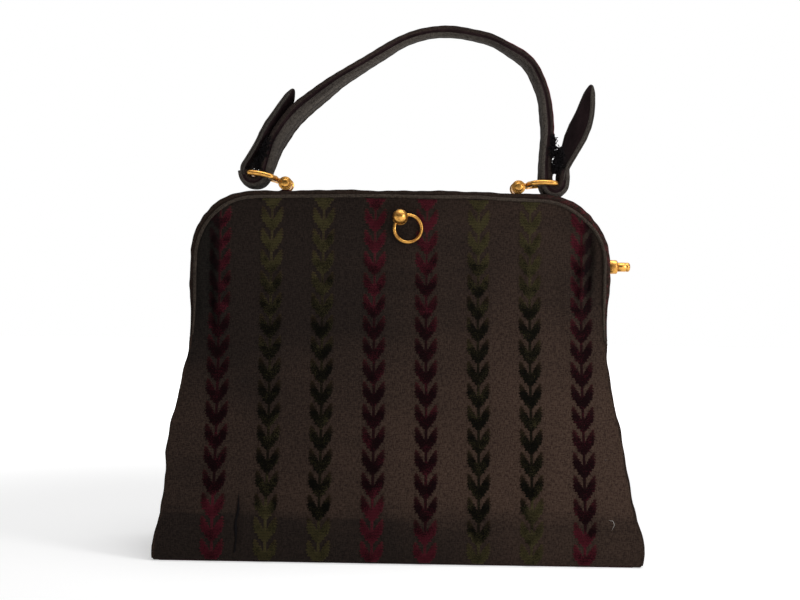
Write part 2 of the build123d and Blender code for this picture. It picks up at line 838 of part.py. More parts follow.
def strap_run(points, radii, tip_height):
    """A stretch of strap along a line, tapered to a leaf point below a tip height."""
    half = strap_width / 2
    with BuildPart() as run:
        with BuildSketch(Plane.XZ.offset(-handle_depth)):
            with BuildLine():
                FilletPolyline(*points, radius=radii)
            trace(line_width=strap_thickness)
        extrude(amount=half, both=True)
        for way in (-1, 1):
            edge = handle_depth + way * half
            with BuildSketch(Plane.XZ.offset(-edge)):
                with BuildLine():
                    FilletPolyline(*points, radius=radii)
                trace(line_width=strap_groove)
            extrude(amount=way * strap_groove_depth, mode=Mode.SUBTRACT)
        if tip_height:
            taper = tip_height - tail_taper
            tip_half = tail_tip_width / 2
            with BuildSketch(Plane.YZ):
                with BuildLine():
                    for way in (-1, 1):
                        Line((handle_depth, frame_top), (handle_depth + way * half, frame_top))
                        Line(
                            (handle_depth + way * half, frame_top),
                            (handle_depth + way * half, taper),
                        )
                        ThreePointArc(
                            (handle_depth + way * half, taper),
                            (
                                handle_depth + way * tail_bulge * half,
                                taper + tail_bulge_place * tail_taper,
                            ),
                            (handle_depth + way * tip_half, tip_height),
                        )
                        Line(
                            (handle_depth + way * tip_half, tip_height),
                            (handle_depth, tip_height),
                        )
                make_face()
            extrude(amount=base_half, both=True, mode=Mode.INTERSECT)
    return run.part


with BuildPart() as handle_strap:
    add(strap_run(strap_line, strap_radii, 0))
    add(strap_run(right_tail, [12, 60, 60], right_tail[-1][1]))
    add(strap_run(left_tail, [3.5, 20, 50, 60], left_tail[-1][1]))
keep(handle_strap.part, "handle_strap")

# Leaf chains: pairs of pointed leaves on a stem, raised from the cloth
column_places = [(index - (column_count - 1) / 2) * column_spacing for index in range(column_count)]
red_columns = [x for index, x in enumerate(column_places) if (index + 1) // 2 % 2 == 0]
green_columns = [x for index, x in enumerate(column_places) if (index + 1) // 2 % 2 == 1]
leaf_half = leaf_width / 2
leaf_low = -(leaf_pitch - leaf_gap) / 2
leaf_high = -leaf_low
leaf_points = [
    (0, leaf_low),
    (0.78 * leaf_half, -0.12 * leaf_pitch),
    (leaf_half, leaf_high - 0.4),
    (0.24 * leaf_half, -0.02 * leaf_pitch),
    (stem_width / 2, leaf_high),
]
leaf_outline = leaf_points + [(-x, y) for x, y in reversed(leaf_points[1:])]


def leaf_plane(x, height):
    """The plane that lies on the cloth under one leaf pair."""
    reach = leaf_pitch / 2
    rise = (face_depth(x, height + reach) - face_depth(x, height - reach)) / leaf_pitch
    across = (face_depth(x + reach, height) - face_depth(x - reach, height)) / leaf_pitch
    low = face_depth(x, height - reach)
    depth = low + rise * reach
    for share in (0.2, 0.4, 0.5, 0.6, 0.8):
        here = face_depth(x, height + (2 * share - 1) * reach)
        depth = max(depth, here - rise * (2 * share - 1) * reach)
    outward = Vector(-across, -1, -rise).normalized()
    start = Vector(x, -depth, height) + outward * pile_gap
    return Plane(origin=start, x_dir=(1, -across, 0), z_dir=outward)


def under_arch(x, height):
    """Whether a whole leaf pair lies inside the piping."""
    corner = frame_corner - piping_inset - piping_radius
    edge_x = frame_half - frame_corner
    edge_z = frame_top - frame_corner
    far_x = max(abs(x) + leaf_half - edge_x, 0)
    far_z = max(height + leaf_high - edge_z, 0)
    return sqrt(far_x**2 + far_z**2) < corner


def leaf_chains(columns, low, high):
    """Raised leaf chains on the given columns, between two heights."""
    with BuildPart() as chains:
        for x in columns:
            height = leaf_first
            while height + leaf_high < high(x):
                if height + leaf_low > low(x) and under_arch(x, height):
                    with BuildSketch(leaf_plane(x, height)):
                        with BuildLine():
                            Polyline(*leaf_outline, close=True)
                        make_face()
                height += leaf_pitch
        extrude(amount=pile_height)
    return chains.part


def bend_height(x):
    """Height of the bend on the outer cloth face."""
    return hinge_height + bend_rise - face_depth(x, hinge_height + bend_rise / 2)


def floor_limit(x):
    return 0.0


def arch_limit(x):
    return frame_top


def below_bend(x):
    return bend_height(x) + leaf_gap


def above_bend(x):
    return bend_height(x) + leaf_gap


for colour, columns in (("burgundy", red_columns), ("green", green_columns)):
    keep(leaf_chains(columns, floor_limit, below_bend), f"front_leaves_{colour}")
    keep(leaf_chains(columns, above_bend, arch_limit), f"top_leaves_{colour}")
    keep(behind(leaf_chains(columns, floor_limit, arch_limit)), f"back_leaves_{colour}")
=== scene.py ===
import math
import random

import bmesh
import bpy
import numpy as np
from bpy.props import FloatProperty, FloatVectorProperty, IntProperty, PointerProperty
from mathutils import Matrix, Vector


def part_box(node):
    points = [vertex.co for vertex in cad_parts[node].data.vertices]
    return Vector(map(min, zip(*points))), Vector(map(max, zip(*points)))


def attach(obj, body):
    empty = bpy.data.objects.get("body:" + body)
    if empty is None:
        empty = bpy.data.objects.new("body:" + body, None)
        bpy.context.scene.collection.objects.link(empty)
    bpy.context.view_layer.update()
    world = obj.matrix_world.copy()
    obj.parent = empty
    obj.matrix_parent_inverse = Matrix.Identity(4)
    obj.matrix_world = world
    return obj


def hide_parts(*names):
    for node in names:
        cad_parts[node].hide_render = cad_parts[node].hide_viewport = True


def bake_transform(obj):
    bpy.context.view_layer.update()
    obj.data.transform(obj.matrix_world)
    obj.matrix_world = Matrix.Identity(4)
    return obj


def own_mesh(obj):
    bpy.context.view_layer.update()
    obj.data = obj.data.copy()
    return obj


bl_info = {
    "name": "Frame Handbag",
    "version": (1, 0, 0),
    "blender": (4, 5, 0),
    "location": "View3D > Sidebar > Handbag",
    "description": "Dresses a cloth frame handbag with raised leaf chains, a strap handle and gilt fittings",
    "category": "Object",
}

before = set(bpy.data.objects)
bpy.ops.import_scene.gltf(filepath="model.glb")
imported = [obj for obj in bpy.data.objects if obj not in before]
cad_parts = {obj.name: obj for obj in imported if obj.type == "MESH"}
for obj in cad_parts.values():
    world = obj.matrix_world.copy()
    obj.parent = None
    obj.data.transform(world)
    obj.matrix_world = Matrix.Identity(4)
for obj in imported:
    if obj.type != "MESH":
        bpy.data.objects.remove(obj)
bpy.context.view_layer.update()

MM = 0.001
BODY = "bag_body"
FRONT_HALF = "front_frame_half"
FACES = (("front", 1), ("back", -1))
SIDES = (("left", -1), ("right", 1))


def cad_centre(node):
    """Middle of a CAD node's box."""
    low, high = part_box(node)
    return (low + high) / 2


# Shape of the body, as heights, half widths, half depths at the sides and extra depth at mid width
LEVEL_HEIGHT = np.array([0.0, 8.0, 27.0, 65.0, 118.0, 146.4, 158.0, 211.6]) * MM
LEVEL_HALF = np.array([139.0, 140.0, 136.25, 131.75, 124.1, 123.1, 123.1, 123.1]) * MM
LEVEL_SIDE = np.array([45.0, 45.0, 45.0, 32.26, 14.5, 8.5, 7.0, 7.0]) * MM
LEVEL_FULL = np.array([0.6, 0.6, 1.8, 3.6, 4.6, 5.4, 5.4, 0.25]) * MM
SOFTEN_REACH = 9 * MM
GUSSET_FOLD = np.array([0.4, 0.8, 3.0, 6.0, 9.0, 10.0, 10.0, 10.0]) * MM

# Frame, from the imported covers
FRAME_LOW, FRAME_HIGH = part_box("front_frame_cover")
FRAME_HALF = FRAME_HIGH.x
FRAME_TOP = FRAME_HIGH.z
LIMB_END = FRAME_LOW.z
COVER_FRONT = -FRAME_LOW.y
PARTING = -FRAME_HIGH.y
FLANGE_FRONT = COVER_FRONT - 0.4 * MM
FRAME_CORNER = 40 * MM
CLOTH_INSET = 1.3 * MM
COVER_END = 128 * MM
HINGE = cad_centre("right_hinge_rivet")
STUD = cad_centre("pull_stud")
LOCK = cad_centre("push_button")

# Upright stretch at the hinge, where the front cloth turns from the body to the front half of the frame, and
# a slanting one for a gusset. They are passed as bends to the dressing of front pieces, which does not use
# them.
FRONT_BEND = ((0, 0, 117 * MM), (0, 0, 166 * MM))
GUSSET_BEND = ((0, -12 * MM, 120 * MM), (0, -31.2 * MM, 134.4 * MM))


def length_setting(name, description, default):
    """A length shown in the panel."""
    return FloatProperty(name=name, description=description, unit="LENGTH", default=default)


def colour_setting(name, description, default):
    """A colour shown in the panel."""
    return FloatVectorProperty(name=name, description=description, subtype="COLOR", default=default)


class ClothSettings(bpy.types.PropertyGroup):
    """Cloth of the body"""
    # On the body the two ground colours are also mixed by painted light and shade: the deep one stands for
    # shade as well as for the least faded cloth.
    ground: colour_setting("Ground", "Colour of the ribbed ground cloth", (0.042, 0.0262, 0.0192))
    ground_deep: colour_setting(
        "Deep Ground", "Colour of the ground cloth where it is least faded", (0.0142, 0.0100, 0.0082))
    lining: colour_setting("Lining", "Colour of the lining", (0.16, 0.105, 0.07))
    thickness: length_setting("Thickness", "Thickness of the body cloth", 1.1 * MM)
    thread: length_setting("Thread", "Distance between two ribs of the weave", 0.55 * MM)
    slack: length_setting("Slack", "Height of the soft waves in the front", 1.0 * MM)
    foot_roll: length_setting("Foot Roll", "Radius of the cloth's turn under the base", 3.0 * MM)


class LeafSettings(bpy.types.PropertyGroup):
    """Raised leaf chains"""
    # Each pile colour has a light and a dark copy, mixed by the pile's painted sheen.
    burgundy: colour_setting("Burgundy", "Light side of the burgundy pile", (0.076, 0.0110, 0.0175))
    burgundy_deep: colour_setting("Deep Burgundy", "Dark side of the burgundy pile", (0.0085, 0.0030, 0.0036))
    green: colour_setting("Green", "Light side of the green pile", (0.055, 0.046, 0.0200))
    green_deep: colour_setting("Deep Green", "Dark side of the green pile", (0.0040, 0.0038, 0.0026))
    pitch: length_setting("Pitch", "Height of one leaf pair in its chain", 12.8 * MM)
    spacing: length_setting("Spacing", "Distance between two chains", 30.35 * MM)
    spread: FloatProperty(
        name="Spread", description="How much wider apart the chains are at the shoulder", default=1.015)
    lean: length_setting("Lean", "How far the chains drift sideways up to the frame", -1.3 * MM)
    drift: length_setting("Drift", "Sideways place of the chains at the foot", 1.3 * MM)
    columns: IntProperty(name="Columns", description="Chains on each face", default=8, min=2)
    rows: IntProperty(name="Rows", description="Leaf pairs in the longest chain", default=18, min=1)
    half_width: length_setting("Half Width", "Half the width of a leaf pair", 6.5 * MM)
    pile: length_setting("Pile", "Height of the cut pile", 0.55 * MM)
    ribs: IntProperty(name="Ribs", description="Rows of pile in one leaf pair", default=26, min=8)
    tuft: length_setting("Tuft", "Distance between two tufts in a row", 0.72 * MM)


class StrapSettings(bpy.types.PropertyGroup):
    """Strap handle and its stirrups"""
    width: length_setting("Width", "Width of the strap", 19.4 * MM)
    thickness: length_setting("Thickness", "Thickness of the padded strap", 6.6 * MM)
    channel: length_setting("Channel", "Distance of the sewn channel from the strap's edge", 2.3 * MM)
    reach: length_setting("Stirrup Reach", "Distance from a stirrup's pin to its bar", 22.2 * MM)
    wire: length_setting("Stirrup Wire", "Thickness of a stirrup's arm", 3.2 * MM)


class MetalSettings(bpy.types.PropertyGroup):
    """Gilt fittings"""
    gilt: colour_setting("Gilt", "Colour of the gilt brass", (0.72, 0.37, 0.085))
    tarnish: colour_setting("Tarnish", "Colour where the gilding is worn", (0.24, 0.105, 0.03))
    steel: colour_setting("Steel", "Colour of the hidden steel", (0.20, 0.185, 0.165))


class StageSettings(bpy.types.PropertyGroup):
    """Camera and light"""
    distance: length_setting("Distance", "Camera distance from the bag's middle plane", 0.8)
    height: length_setting("Height", "Camera height", 150.5 * MM)
    lens: FloatProperty(name="Lens", description="Focal length on a 36 mm sensor", default=59.7)
    roll: FloatProperty(
        name="Roll", description="Camera turn about its view axis", subtype="ANGLE", default=0.0166)


class HandbagSettings(bpy.types.PropertyGroup):
    """All settings of the handbag"""
    cloth: PointerProperty(type=ClothSettings)
    leaves: PointerProperty(type=LeafSettings)
    strap: PointerProperty(type=StrapSettings)
    metal: PointerProperty(type=MetalSettings)
    stage: PointerProperty(type=StageSettings)


def settings():
    """The handbag's settings in this scene."""
    return bpy.context.scene.handbag


# Nodes

class Field:
    """One output of a node. Sums, differences and products with it add the math nodes that they need."""

    def __init__(self, tree, socket):
        self.tree = tree
        self.socket = socket

    def __add__(self, other):
        return maths("ADD", self, other)

    def __sub__(self, other):
        return maths("SUBTRACT", self, other)

    def __rsub__(self, other):
        return maths("SUBTRACT", other, self)

    def __mul__(self, other):
        return maths("MULTIPLY", self, other)

    def __truediv__(self, other):
        return maths("DIVIDE", self, other)

    __radd__ = __add__
    __rmul__ = __mul__


class Outputs:
    """The outputs of a node, by place or name."""

    def __init__(self, tree, made):
        self.tree = tree
        self.made = made

    def __getitem__(self, key):
        return Field(self.tree, self.made.outputs[key])


def feed(tree, inputs, values):
    """Set or link some of a node's inputs."""
    for name, value in values.items():
        if isinstance(value, Field):
            tree.links.new(value.socket, inputs[name])
        else:
            inputs[name].default_value = value


def node(tree, kind, inputs=None, **attributes):
    """Add one node, set its attributes, and set or link its inputs."""
    made = tree.nodes.new(kind)
    for name, value in attributes.items():
        setattr(made, name, value)
    feed(tree, made.inputs, inputs or {})
    return Outputs(tree, made)


def tree_of(*values):
    """The tree of the first field among some values."""
    return next(value.tree for value in values if isinstance(value, Field))


def maths(operation, *values, clamp=False):
    """The result of one math node."""
    inputs = dict(enumerate(values))
    return node(tree_of(*values), "ShaderNodeMath", inputs, operation=operation, use_clamp=clamp)[0]


def vector_maths(operation, *values):
    """The vector result of one vector math node."""
    return node(tree_of(*values), "ShaderNodeVectorMath", dict(enumerate(values)), operation=operation)[0]


def axes(place):
    """The three parts of a vector."""
    return node(place.tree, "ShaderNodeSeparateXYZ", {0: place})


def vector(tree, x, y, z):
    """A vector from its three parts."""
    return node(tree, "ShaderNodeCombineXYZ", {0: x, 1: y, 2: z})[0]


def ramp(value, low, high, to_low=0.0, to_high=1.0):
    """A value mapped smoothly from one range to another."""
    inputs = {0: value, 1: low, 2: high, 3: to_low, 4: to_high}
    return node(value.tree, "ShaderNodeMapRange", inputs, interpolation_type="SMOOTHSTEP")[0]


def mixed(factor, first, second, way="MIX"):
    """Two colours mixed by a factor."""
    first, second = (part if isinstance(part, Field) else (*part, 1.0) for part in (first, second))
    inputs = {0: factor, 6: first, 7: second}
    return node(tree_of(factor, first, second), "ShaderNodeMix", inputs, data_type="RGBA", blend_type=way)[2]


def noise(place, scale, detail=3.0, roughness=0.55):
    """The value of a noise texture."""
    inputs = {"Vector": place, "Scale": scale, "Detail": detail, "Roughness": roughness}
    return node(place.tree, "ShaderNodeTexNoise", inputs)[0]


def stretched(place, *scale):
    """Coordinates stretched along their axes."""
    return node(place.tree, "ShaderNodeMapping", {"Vector": place, "Scale": scale})[0]


def bump(height, strength, distance):
    """A normal pushed by a height."""
    values = {"Height": height, "Strength": strength, "Distance": distance}
    return node(height.tree, "ShaderNodeBump", values)[0]


VALUE = "NodeSocketFloat"
WHOLE = "NodeSocketInt"
VECTOR = "NodeSocketVector"
OBJECT = "NodeSocketObject"
MATERIAL = "NodeSocketMaterial"
GEOMETRY = "NodeSocketGeometry"


def new_group(name, kind, inputs, outputs):
    """A node group with named sockets: its tree, its inputs as fields, and the sockets of its outputs."""
    tree = bpy.data.node_groups.new(name, kind)
    for socket_name, socket_kind, default in inputs:
        made = tree.interface.new_socket(name=socket_name, in_out="INPUT", socket_type=socket_kind)
        if default is not None:
            made.default_value = default
    for socket_name, socket_kind in outputs:
        tree.interface.new_socket(name=socket_name, in_out="OUTPUT", socket_type=socket_kind)
    return tree, node(tree, "NodeGroupInput"), tree.nodes.new("NodeGroupOutput").inputs


def ribbed_weave_group():
    """Fine ribs crossed by warp threads, uneven as an old woven cloth is."""
    tree, given, result = new_group(
        "Ribbed Weave", "ShaderNodeTree",
        [("Vector", VECTOR, None), ("Thread", VALUE, 0.55 * MM), ("Unevenness", VALUE, 0.5)],
        [("Height", VALUE), ("Shade", VALUE)])
    flat, thread = given["Vector"], given["Thread"]
    parts = axes(flat)
    shift = noise(flat, 60, 2) * (thread * 3)
    turn = maths("DIVIDE", 2 * math.pi, thread)
    across = maths("SINE", (parts[1] + shift) * turn)
    along = maths("SINE", (parts[0] + shift) * (turn * 0.7))
    threads = across * 0.32 + along * 0.18
    slub = noise(stretched(flat, 420, 1500, 600), 1, 3, 0.75)
    warp = noise(stretched(flat, 1500, 420, 900), 1, 3, 0.75)
    grain = (slub + warp) * given["Unevenness"]
    shade = ramp(grain + threads * 0.12, 0.40, 0.60)
    feed(tree, result, {"Height": threads + 0.5 + grain * 2, "Shade": shade})
    return tree


def cloth_ageing_group():
    """Long uneven streaks of fading and rubbed patches, with a little lint."""
    tree, given, result = new_group(
        "Cloth Ageing", "ShaderNodeTree",
        [("Vector", VECTOR, None), ("Streaks", VALUE, 0.5)],
        [("Fade", VALUE), ("Lint", VALUE)])
    flat = given["Vector"]
    streak = noise(stretched(flat, 7, 60, 60), 1, 4, 0.6)
    patch = noise(flat, 16, 3, 0.5)
    thin = noise(stretched(flat, 14, 330, 330), 1, 2, 0.5)
    faded = streak * given["Streaks"] + (patch * 0.45 + thin * 0.15)
    fleck = noise(flat, 420, 1, 0.5)
    feed(tree, result, {"Fade": ramp(faded, 0.35, 0.72), "Lint": ramp(fleck, 0.80, 0.84)})
    return tree


def pile_painted_sheen_group():
    """Painted sheen of the pile: lighter in a band at the foot and above the shoulder, darker between, with
    uneven tufts and patches.
    """
    tree, given, result = new_group(
        "Pile Painted Sheen", "ShaderNodeTree",
        [("Vector", VECTOR, None), ("Band Top", VALUE, 0.036), ("Shoulder", VALUE, 0.118)],
        [("Sheen And Tufts", VALUE), ("Height", VALUE)])
    place, band_top, shoulder = given["Vector"], given["Band Top"], given["Shoulder"]
    height = axes(place)[2] + (noise(place, 26, 2) - 0.5) * 0.09
    low = ramp(height, band_top - 0.010, band_top, 0.95, 0.0)
    high = ramp(height, shoulder, shoulder + 0.09, 0.0, 0.95)
    lit = maths("MAXIMUM", low, high) - 0.14
    tuft = noise(place, 1500, 2, 0.7)
    patch = noise(place, 110, 2, 0.6)
    uneven = (tuft - 0.5) * 3.4 + (patch - 0.5) * 2.2
    feed(tree, result, {"Sheen And Tufts": maths("ADD", lit, uneven, clamp=True), "Height": tuft})
    return tree


def metal_wear_group():
    """Rubbed gilding: dull specks, fine scratches and darker hollows."""
    tree, given, result = new_group(
        "Metal Wear", "ShaderNodeTree",
        [("Vector", VECTOR, None), ("Amount", VALUE, 0.5)],
        [("Tarnish", VALUE), ("Roughness", VALUE), ("Height", VALUE)])
    place = given["Vector"]
    cloud = noise(place, 240, 4, 0.6)
    pit = noise(place, 1400, 2, 0.6)
    scratch = noise(stretched(place, 2600, 300, 900), 1, 2, 0.5)
    worn = ramp(cloud + pit * 0.35, 0.60, 0.86)
    feed(tree, result, {
        "Tarnish": worn * given["Amount"], "Roughness": 0.2 + (worn + scratch) * 0.2,
        "Height": scratch * 0.5 + pit})
    return tree


def use_group(tree, name, inputs):
    """A shared node group placed in a material, made the first time that it is asked for."""
    makers = {
        "Ribbed Weave": ribbed_weave_group,
        "Cloth Ageing": cloth_ageing_group,
        "Pile Painted Sheen": pile_painted_sheen_group,
        "Metal Wear": metal_wear_group,
    }
    shared = bpy.data.node_groups.get(name) or makers[name]()
    return node(tree, "ShaderNodeGroup", inputs, node_tree=shared)


# Materials

def shaded(colour, factor):
    """A colour made darker or lighter."""
    return [factor * part for part in colour]


def new_material(name, roughness=0.8, metallic=0.0, specular=0.3):
    """A material with one Principled shader: the material, its tree and the shader's inputs."""
    made = bpy.data.materials.new(name)
    made.use_nodes = True
    tree = made.node_tree
    tree.nodes.clear()
    shader = node(
        tree, "ShaderNodeBsdfPrincipled",
        {"Roughness": roughness, "Metallic": metallic, "Specular IOR Level": specular})
    node(tree, "ShaderNodeOutputMaterial", {"Surface": shader[0]})
    return made, tree, shader.made.inputs


def object_coordinates(tree):
    """Coordinates that stay with the object."""
    return node(tree, "ShaderNodeTexCoord")["Object"]


def fading_and_painted_light(flat, place, age):
    """Fading of the body cloth with painted light in it, lighter on its sloping middle and to the right, and
    the painted shadow in the hollow and the puckers at its upper corners."""
    parts = axes(place)
    x, z = parts[0], parts[2]
    height = z + (age - 0.5) * 0.009
    # Painted light: the sloping middle, above the foot band and below the shoulder, is made lighter as if lit
    # from above.
    middle = ramp(height, 0.022, 0.034) * ramp(height, 0.062, 0.160, 1.0, 0.0)
    # Painted light: lighter to the right and darker to the left, as if lit from the right, and less so high
    # on the right.
    high_right = ramp(x, 0.02, 0.10, 0.0, -0.22) * ramp(z, 0.09, 0.18)
    painted_side_light = ramp(x, -0.12, 0.14, -0.40, 0.46) + high_right
    drifting = (noise(flat, 21, 2) - 0.5) * 0.7
    fade_and_light = maths("ADD", middle * 0.62 + drifting, painted_side_light + age * 0.26, clamp=True)
    # Painted shadow in the hollow at the upper left and in the puckers at the upper right.
    hollow = ramp(x, -0.100, -0.113) * ramp(z, 0.10, 0.15)
    pucker = ramp(maths("ABSOLUTE", x - 0.1135), 0.0, 0.005, 0.8, 0.0) * ramp(z, 0.14, 0.165)
    return fade_and_light, maths("MAXIMUM", hollow, pucker)


def cloth_material(name, light, deep, streaks=0.5, sheen=0.0, painted_light_zones=False, rubbed=False):
    """Ribbed cloth. On the body it gets its fading with painted light and painted shadow, and rubbed bares
    its red threads at the right corner.
    """
    made, tree, shader = new_material(name, roughness=0.9, specular=0.06)
    flat = node(tree, "ShaderNodeUVMap", uv_map="weave")[0]
    place = object_coordinates(tree)
    weave = use_group(
        tree, "Ribbed Weave", {"Vector": flat, "Thread": settings().cloth.thread, "Unevenness": 0.5})
    age = use_group(tree, "Cloth Ageing", {"Vector": flat, "Streaks": streaks})
    if painted_light_zones:
        # The body's fading with painted light, darkened by painted shadow at the upper corners.
        fade_and_light, shadow = fading_and_painted_light(flat, place, age["Fade"])
        colour = mixed(shadow * 0.62, mixed(fade_and_light, deep, light), (0.004, 0.0045, 0.004))
    else:
        colour = mixed(age["Fade"], deep, light)
    darker = mixed(1.0, colour, (0.52, 0.50, 0.52), "MULTIPLY")
    lighter = mixed(1.0, colour, (1.62, 1.60, 1.56), "MULTIPLY")
    colour = mixed(weave["Shade"], darker, lighter)
    colour = mixed(age["Lint"] * 0.25, colour, (0.16, 0.15, 0.14))
    if rubbed:
        corner = ramp(axes(place)[0], 0.07, 0.118)
        bare = corner * ramp(noise(place, 420, 4, 0.7), 0.47, 0.62)
        colour = mixed(bare, colour, (0.075, 0.017, 0.019))
    feed(tree, shader, {
        "Base Color": colour, "Normal": bump(weave["Height"], 0.7, 0.3 * MM),
        "Sheen Weight": sheen, "Sheen Roughness": 0.45})
    return made


def pile_material(name, light, deep, stem):
    """Cut velvet pile with a painted sheen that turns with its height on the bag, worn bare in places near
    the top.
    """
    made, tree, shader = new_material(name, roughness=0.95, specular=0.04)
    place = object_coordinates(tree)
    parts = axes(place)
    sheen_and_tufts = use_group(tree, "Pile Painted Sheen", {"Vector": place})
    tip, core, rib = (
        node(tree, "ShaderNodeAttribute", attribute_name=word)["Fac"] for word in ("tip", "core", "rib"))
    # Painted sheen: the pile is lighter in a band at the foot and above the shoulder.
    colour = mixed(sheen_and_tufts["Sheen And Tufts"], deep, light)
    colour = mixed(tip, colour, mixed(0.5, colour, stem))
    bald = ramp(parts[2], 0.12, 0.21, 0.0, 0.34)
    frayed = ramp(core + sheen_and_tufts["Height"] * 1.8 - bald, 0.60, 1.05, 1.0, 0.0)
    colour = mixed(frayed, colour, shaded(settings().cloth.ground, 0.8))
    # Painted shade: the deeper pile rows are darkened, and the chains at the far left and right of the upper
    # corners are darkened as the shadow of the hollows there.
    sides = maths("MAXIMUM", ramp(parts[0], -0.1062, -0.1095), ramp(parts[0], 0.1075, 0.1105))
    hidden = sides * ramp(parts[2], 0.13, 0.165) * 0.85
    colour = mixed(maths("MAXIMUM", rib * 0.22, hidden), colour, (0.005, 0.004, 0.004))
    feed(tree, shader, {"Base Color": colour, "Normal": bump(sheen_and_tufts["Height"], 0.7, 0.3 * MM)})
    return made


def velvet_material(name, colour):
    """Plain dark velvet, as on the inner face of the tails and in the post mounds."""
    made, tree, shader = new_material(name, roughness=0.95, specular=0.05)
    place = object_coordinates(tree)
    tuft = noise(place, 900, 3, 0.7)
    shade = ramp(tuft + noise(place, 90, 2), 0.75, 1.3)
    feed(tree, shader, {
        "Base Color": mixed(shade, shaded(colour, 0.45), colour), "Normal": bump(tuft, 0.6, 0.3 * MM),
        "Sheen Weight": 0.02, "Sheen Roughness": 0.35})
    return made


def thread_material(name, colour):
    """Twisted sewing thread."""
    made, tree, shader = new_material(name, roughness=0.8, specular=0.05)
    twist = noise(stretched(object_coordinates(tree), 2400, 2400, 700), 1, 2)
    feed(tree, shader, {"Base Color": mixed(twist, shaded(colour, 0.5), shaded(colour, 1.3))})
    return made


def metal_material(name, colour, tarnish, amount, roughness_scale=1.0):
    """Bright metal with worn patches, its gloss and bump from the same wear."""
    made, tree, shader = new_material(name, metallic=1.0, specular=0.5)
    wear = use_group(tree, "Metal Wear", {"Vector": object_coordinates(tree), "Amount": amount})
    feed(tree, shader, {
        "Base Color": mixed(wear["Tarnish"], colour, tarnish),
        "Roughness": wear["Roughness"] * roughness_scale,
        "Normal": bump(wear["Height"], 0.25, 0.08 * MM)})
    return made


def board_material(name):
    """Pressed fibre board of the base."""
    made, tree, shader = new_material(name, roughness=0.9)
    fibre = noise(stretched(object_coordinates(tree), 300, 900, 600), 1, 4)
    feed(tree, shader, {
        "Base Color": mixed(fibre, (0.16, 0.12, 0.08), (0.34, 0.27, 0.19)),
        "Normal": bump(fibre, 0.4, 0.1 * MM)})
    return made


def surface(name):
    """A material by its name, made the first time that it is asked for."""
    cloth, leaves, metal = settings().cloth, settings().leaves, settings().metal
    makers = {
        "ribbed_ground_cloth": lambda: cloth_material(name, cloth.ground, cloth.ground_deep, painted_light_zones=True),
        "ribbed_side_cloth": lambda: cloth_material(name, shaded(cloth.ground, 0.8), cloth.ground_deep, 0.6),
        # Painted shade: the frame covers are half as light as the body cloth.
        "frame_cover_cloth": lambda: cloth_material(
            name, shaded(cloth.ground, 0.5), cloth.ground_deep, 0.6, rubbed=True),
        # Painted highlight: the corded piping is lighter than the cloth around it.
        "corded_piping_cloth": lambda: cloth_material(
            name, (0.047, 0.037, 0.029), (0.022, 0.017, 0.014), 0.6),
        "lining_twill": lambda: cloth_material(name, cloth.lining, shaded(cloth.lining, 0.6), 0.3, 0.1),
        "ribbed_strap_cloth": lambda: cloth_material(
            name, (0.062, 0.054, 0.046), (0.026, 0.022, 0.020), sheen=0.01),
        "strap_side_cloth": lambda: cloth_material(name, (0.034, 0.024, 0.020), (0.012, 0.009, 0.008)),
        "burgundy_cut_pile": lambda: pile_material(
            name, leaves.burgundy, leaves.burgundy_deep, (0.06, 0.018, 0.016)),
        "green_cut_pile": lambda: pile_material(name, leaves.green, leaves.green_deep, (0.05, 0.03, 0.016)),
        "dark_velvet": lambda: velvet_material(name, (0.022, 0.012, 0.013)),
        "plum_velvet": lambda: velvet_material(name, (0.07, 0.016, 0.022)),
        "rose_velvet": lambda: velvet_material(name, (0.12, 0.026, 0.034)),
        "black_thread": lambda: thread_material(name, (0.006, 0.005, 0.0055)),
        "pale_thread": lambda: thread_material(name, (0.42, 0.40, 0.37)),
        "worn_gilt": lambda: metal_material(name, metal.gilt, metal.tarnish, 0.7),
        "bent_steel": lambda: metal_material(name, metal.steel, shaded(metal.steel, 0.5), 0.5, 1.8),
        "fibre_board": lambda: board_material(name),
    }
    return bpy.data.materials.get(name) or makers[name]()


# Mesh helpers

def mesh_piece(name, points, faces, material, flat=None, smooth=True):
    """A mesh object from points and faces, with flat cloth coordinates for each point if given."""
    mesh = bpy.data.meshes.new(name)
    mesh.from_pydata([tuple(point) for point in points], [], faces)
    mesh.validate()
    if flat is not None:
        layer = mesh.uv_layers.new(name="weave")
        corner = np.zeros(len(mesh.loops), dtype=np.int32)
        mesh.loops.foreach_get("vertex_index", corner)
        layer.data.foreach_set("uv", np.asarray(flat, dtype=np.float32)[corner].ravel())
    mesh.polygons.foreach_set("use_smooth", [smooth] * len(mesh.polygons))
    mesh.materials.append(material)
    made = bpy.data.objects.new(name, mesh)
    bpy.context.scene.collection.objects.link(made)
    return made


def grid_faces(rows, columns, close_rows=False, close_columns=False, flip=False):
    """Quads of a grid of points, kept row by row."""
    faces = []
    for i in range(rows if close_rows else rows - 1):
        for j in range(columns if close_columns else columns - 1):
            a = i * columns + j
            b = i * columns + (j + 1) % columns
            c = ((i + 1) % rows) * columns + (j + 1) % columns
            d = ((i + 1) % rows) * columns + j
            faces.append((a, d, c, b) if flip else (a, b, c, d))
    return faces


def apply_modifiers(piece):
    """Turn a piece with modifiers into a plain mesh."""
    graph = bpy.context.evaluated_depsgraph_get()
    mesh = bpy.data.meshes.new_from_object(piece.evaluated_get(graph), depsgraph=graph)
    old = piece.data
    piece.modifiers.clear()
    piece.data = mesh
    bpy.data.meshes.remove(old)
    return piece


def outward(piece):
    """Merge doubles and point the faces outwards on a closed piece."""
    work = bmesh.new()
    work.from_mesh(piece.data)
    bmesh.ops.remove_doubles(work, verts=work.verts, dist=1e-6)
    bmesh.ops.recalc_face_normals(work, faces=work.faces)
    work.to_mesh(piece.data)
    work.free()
    return piece


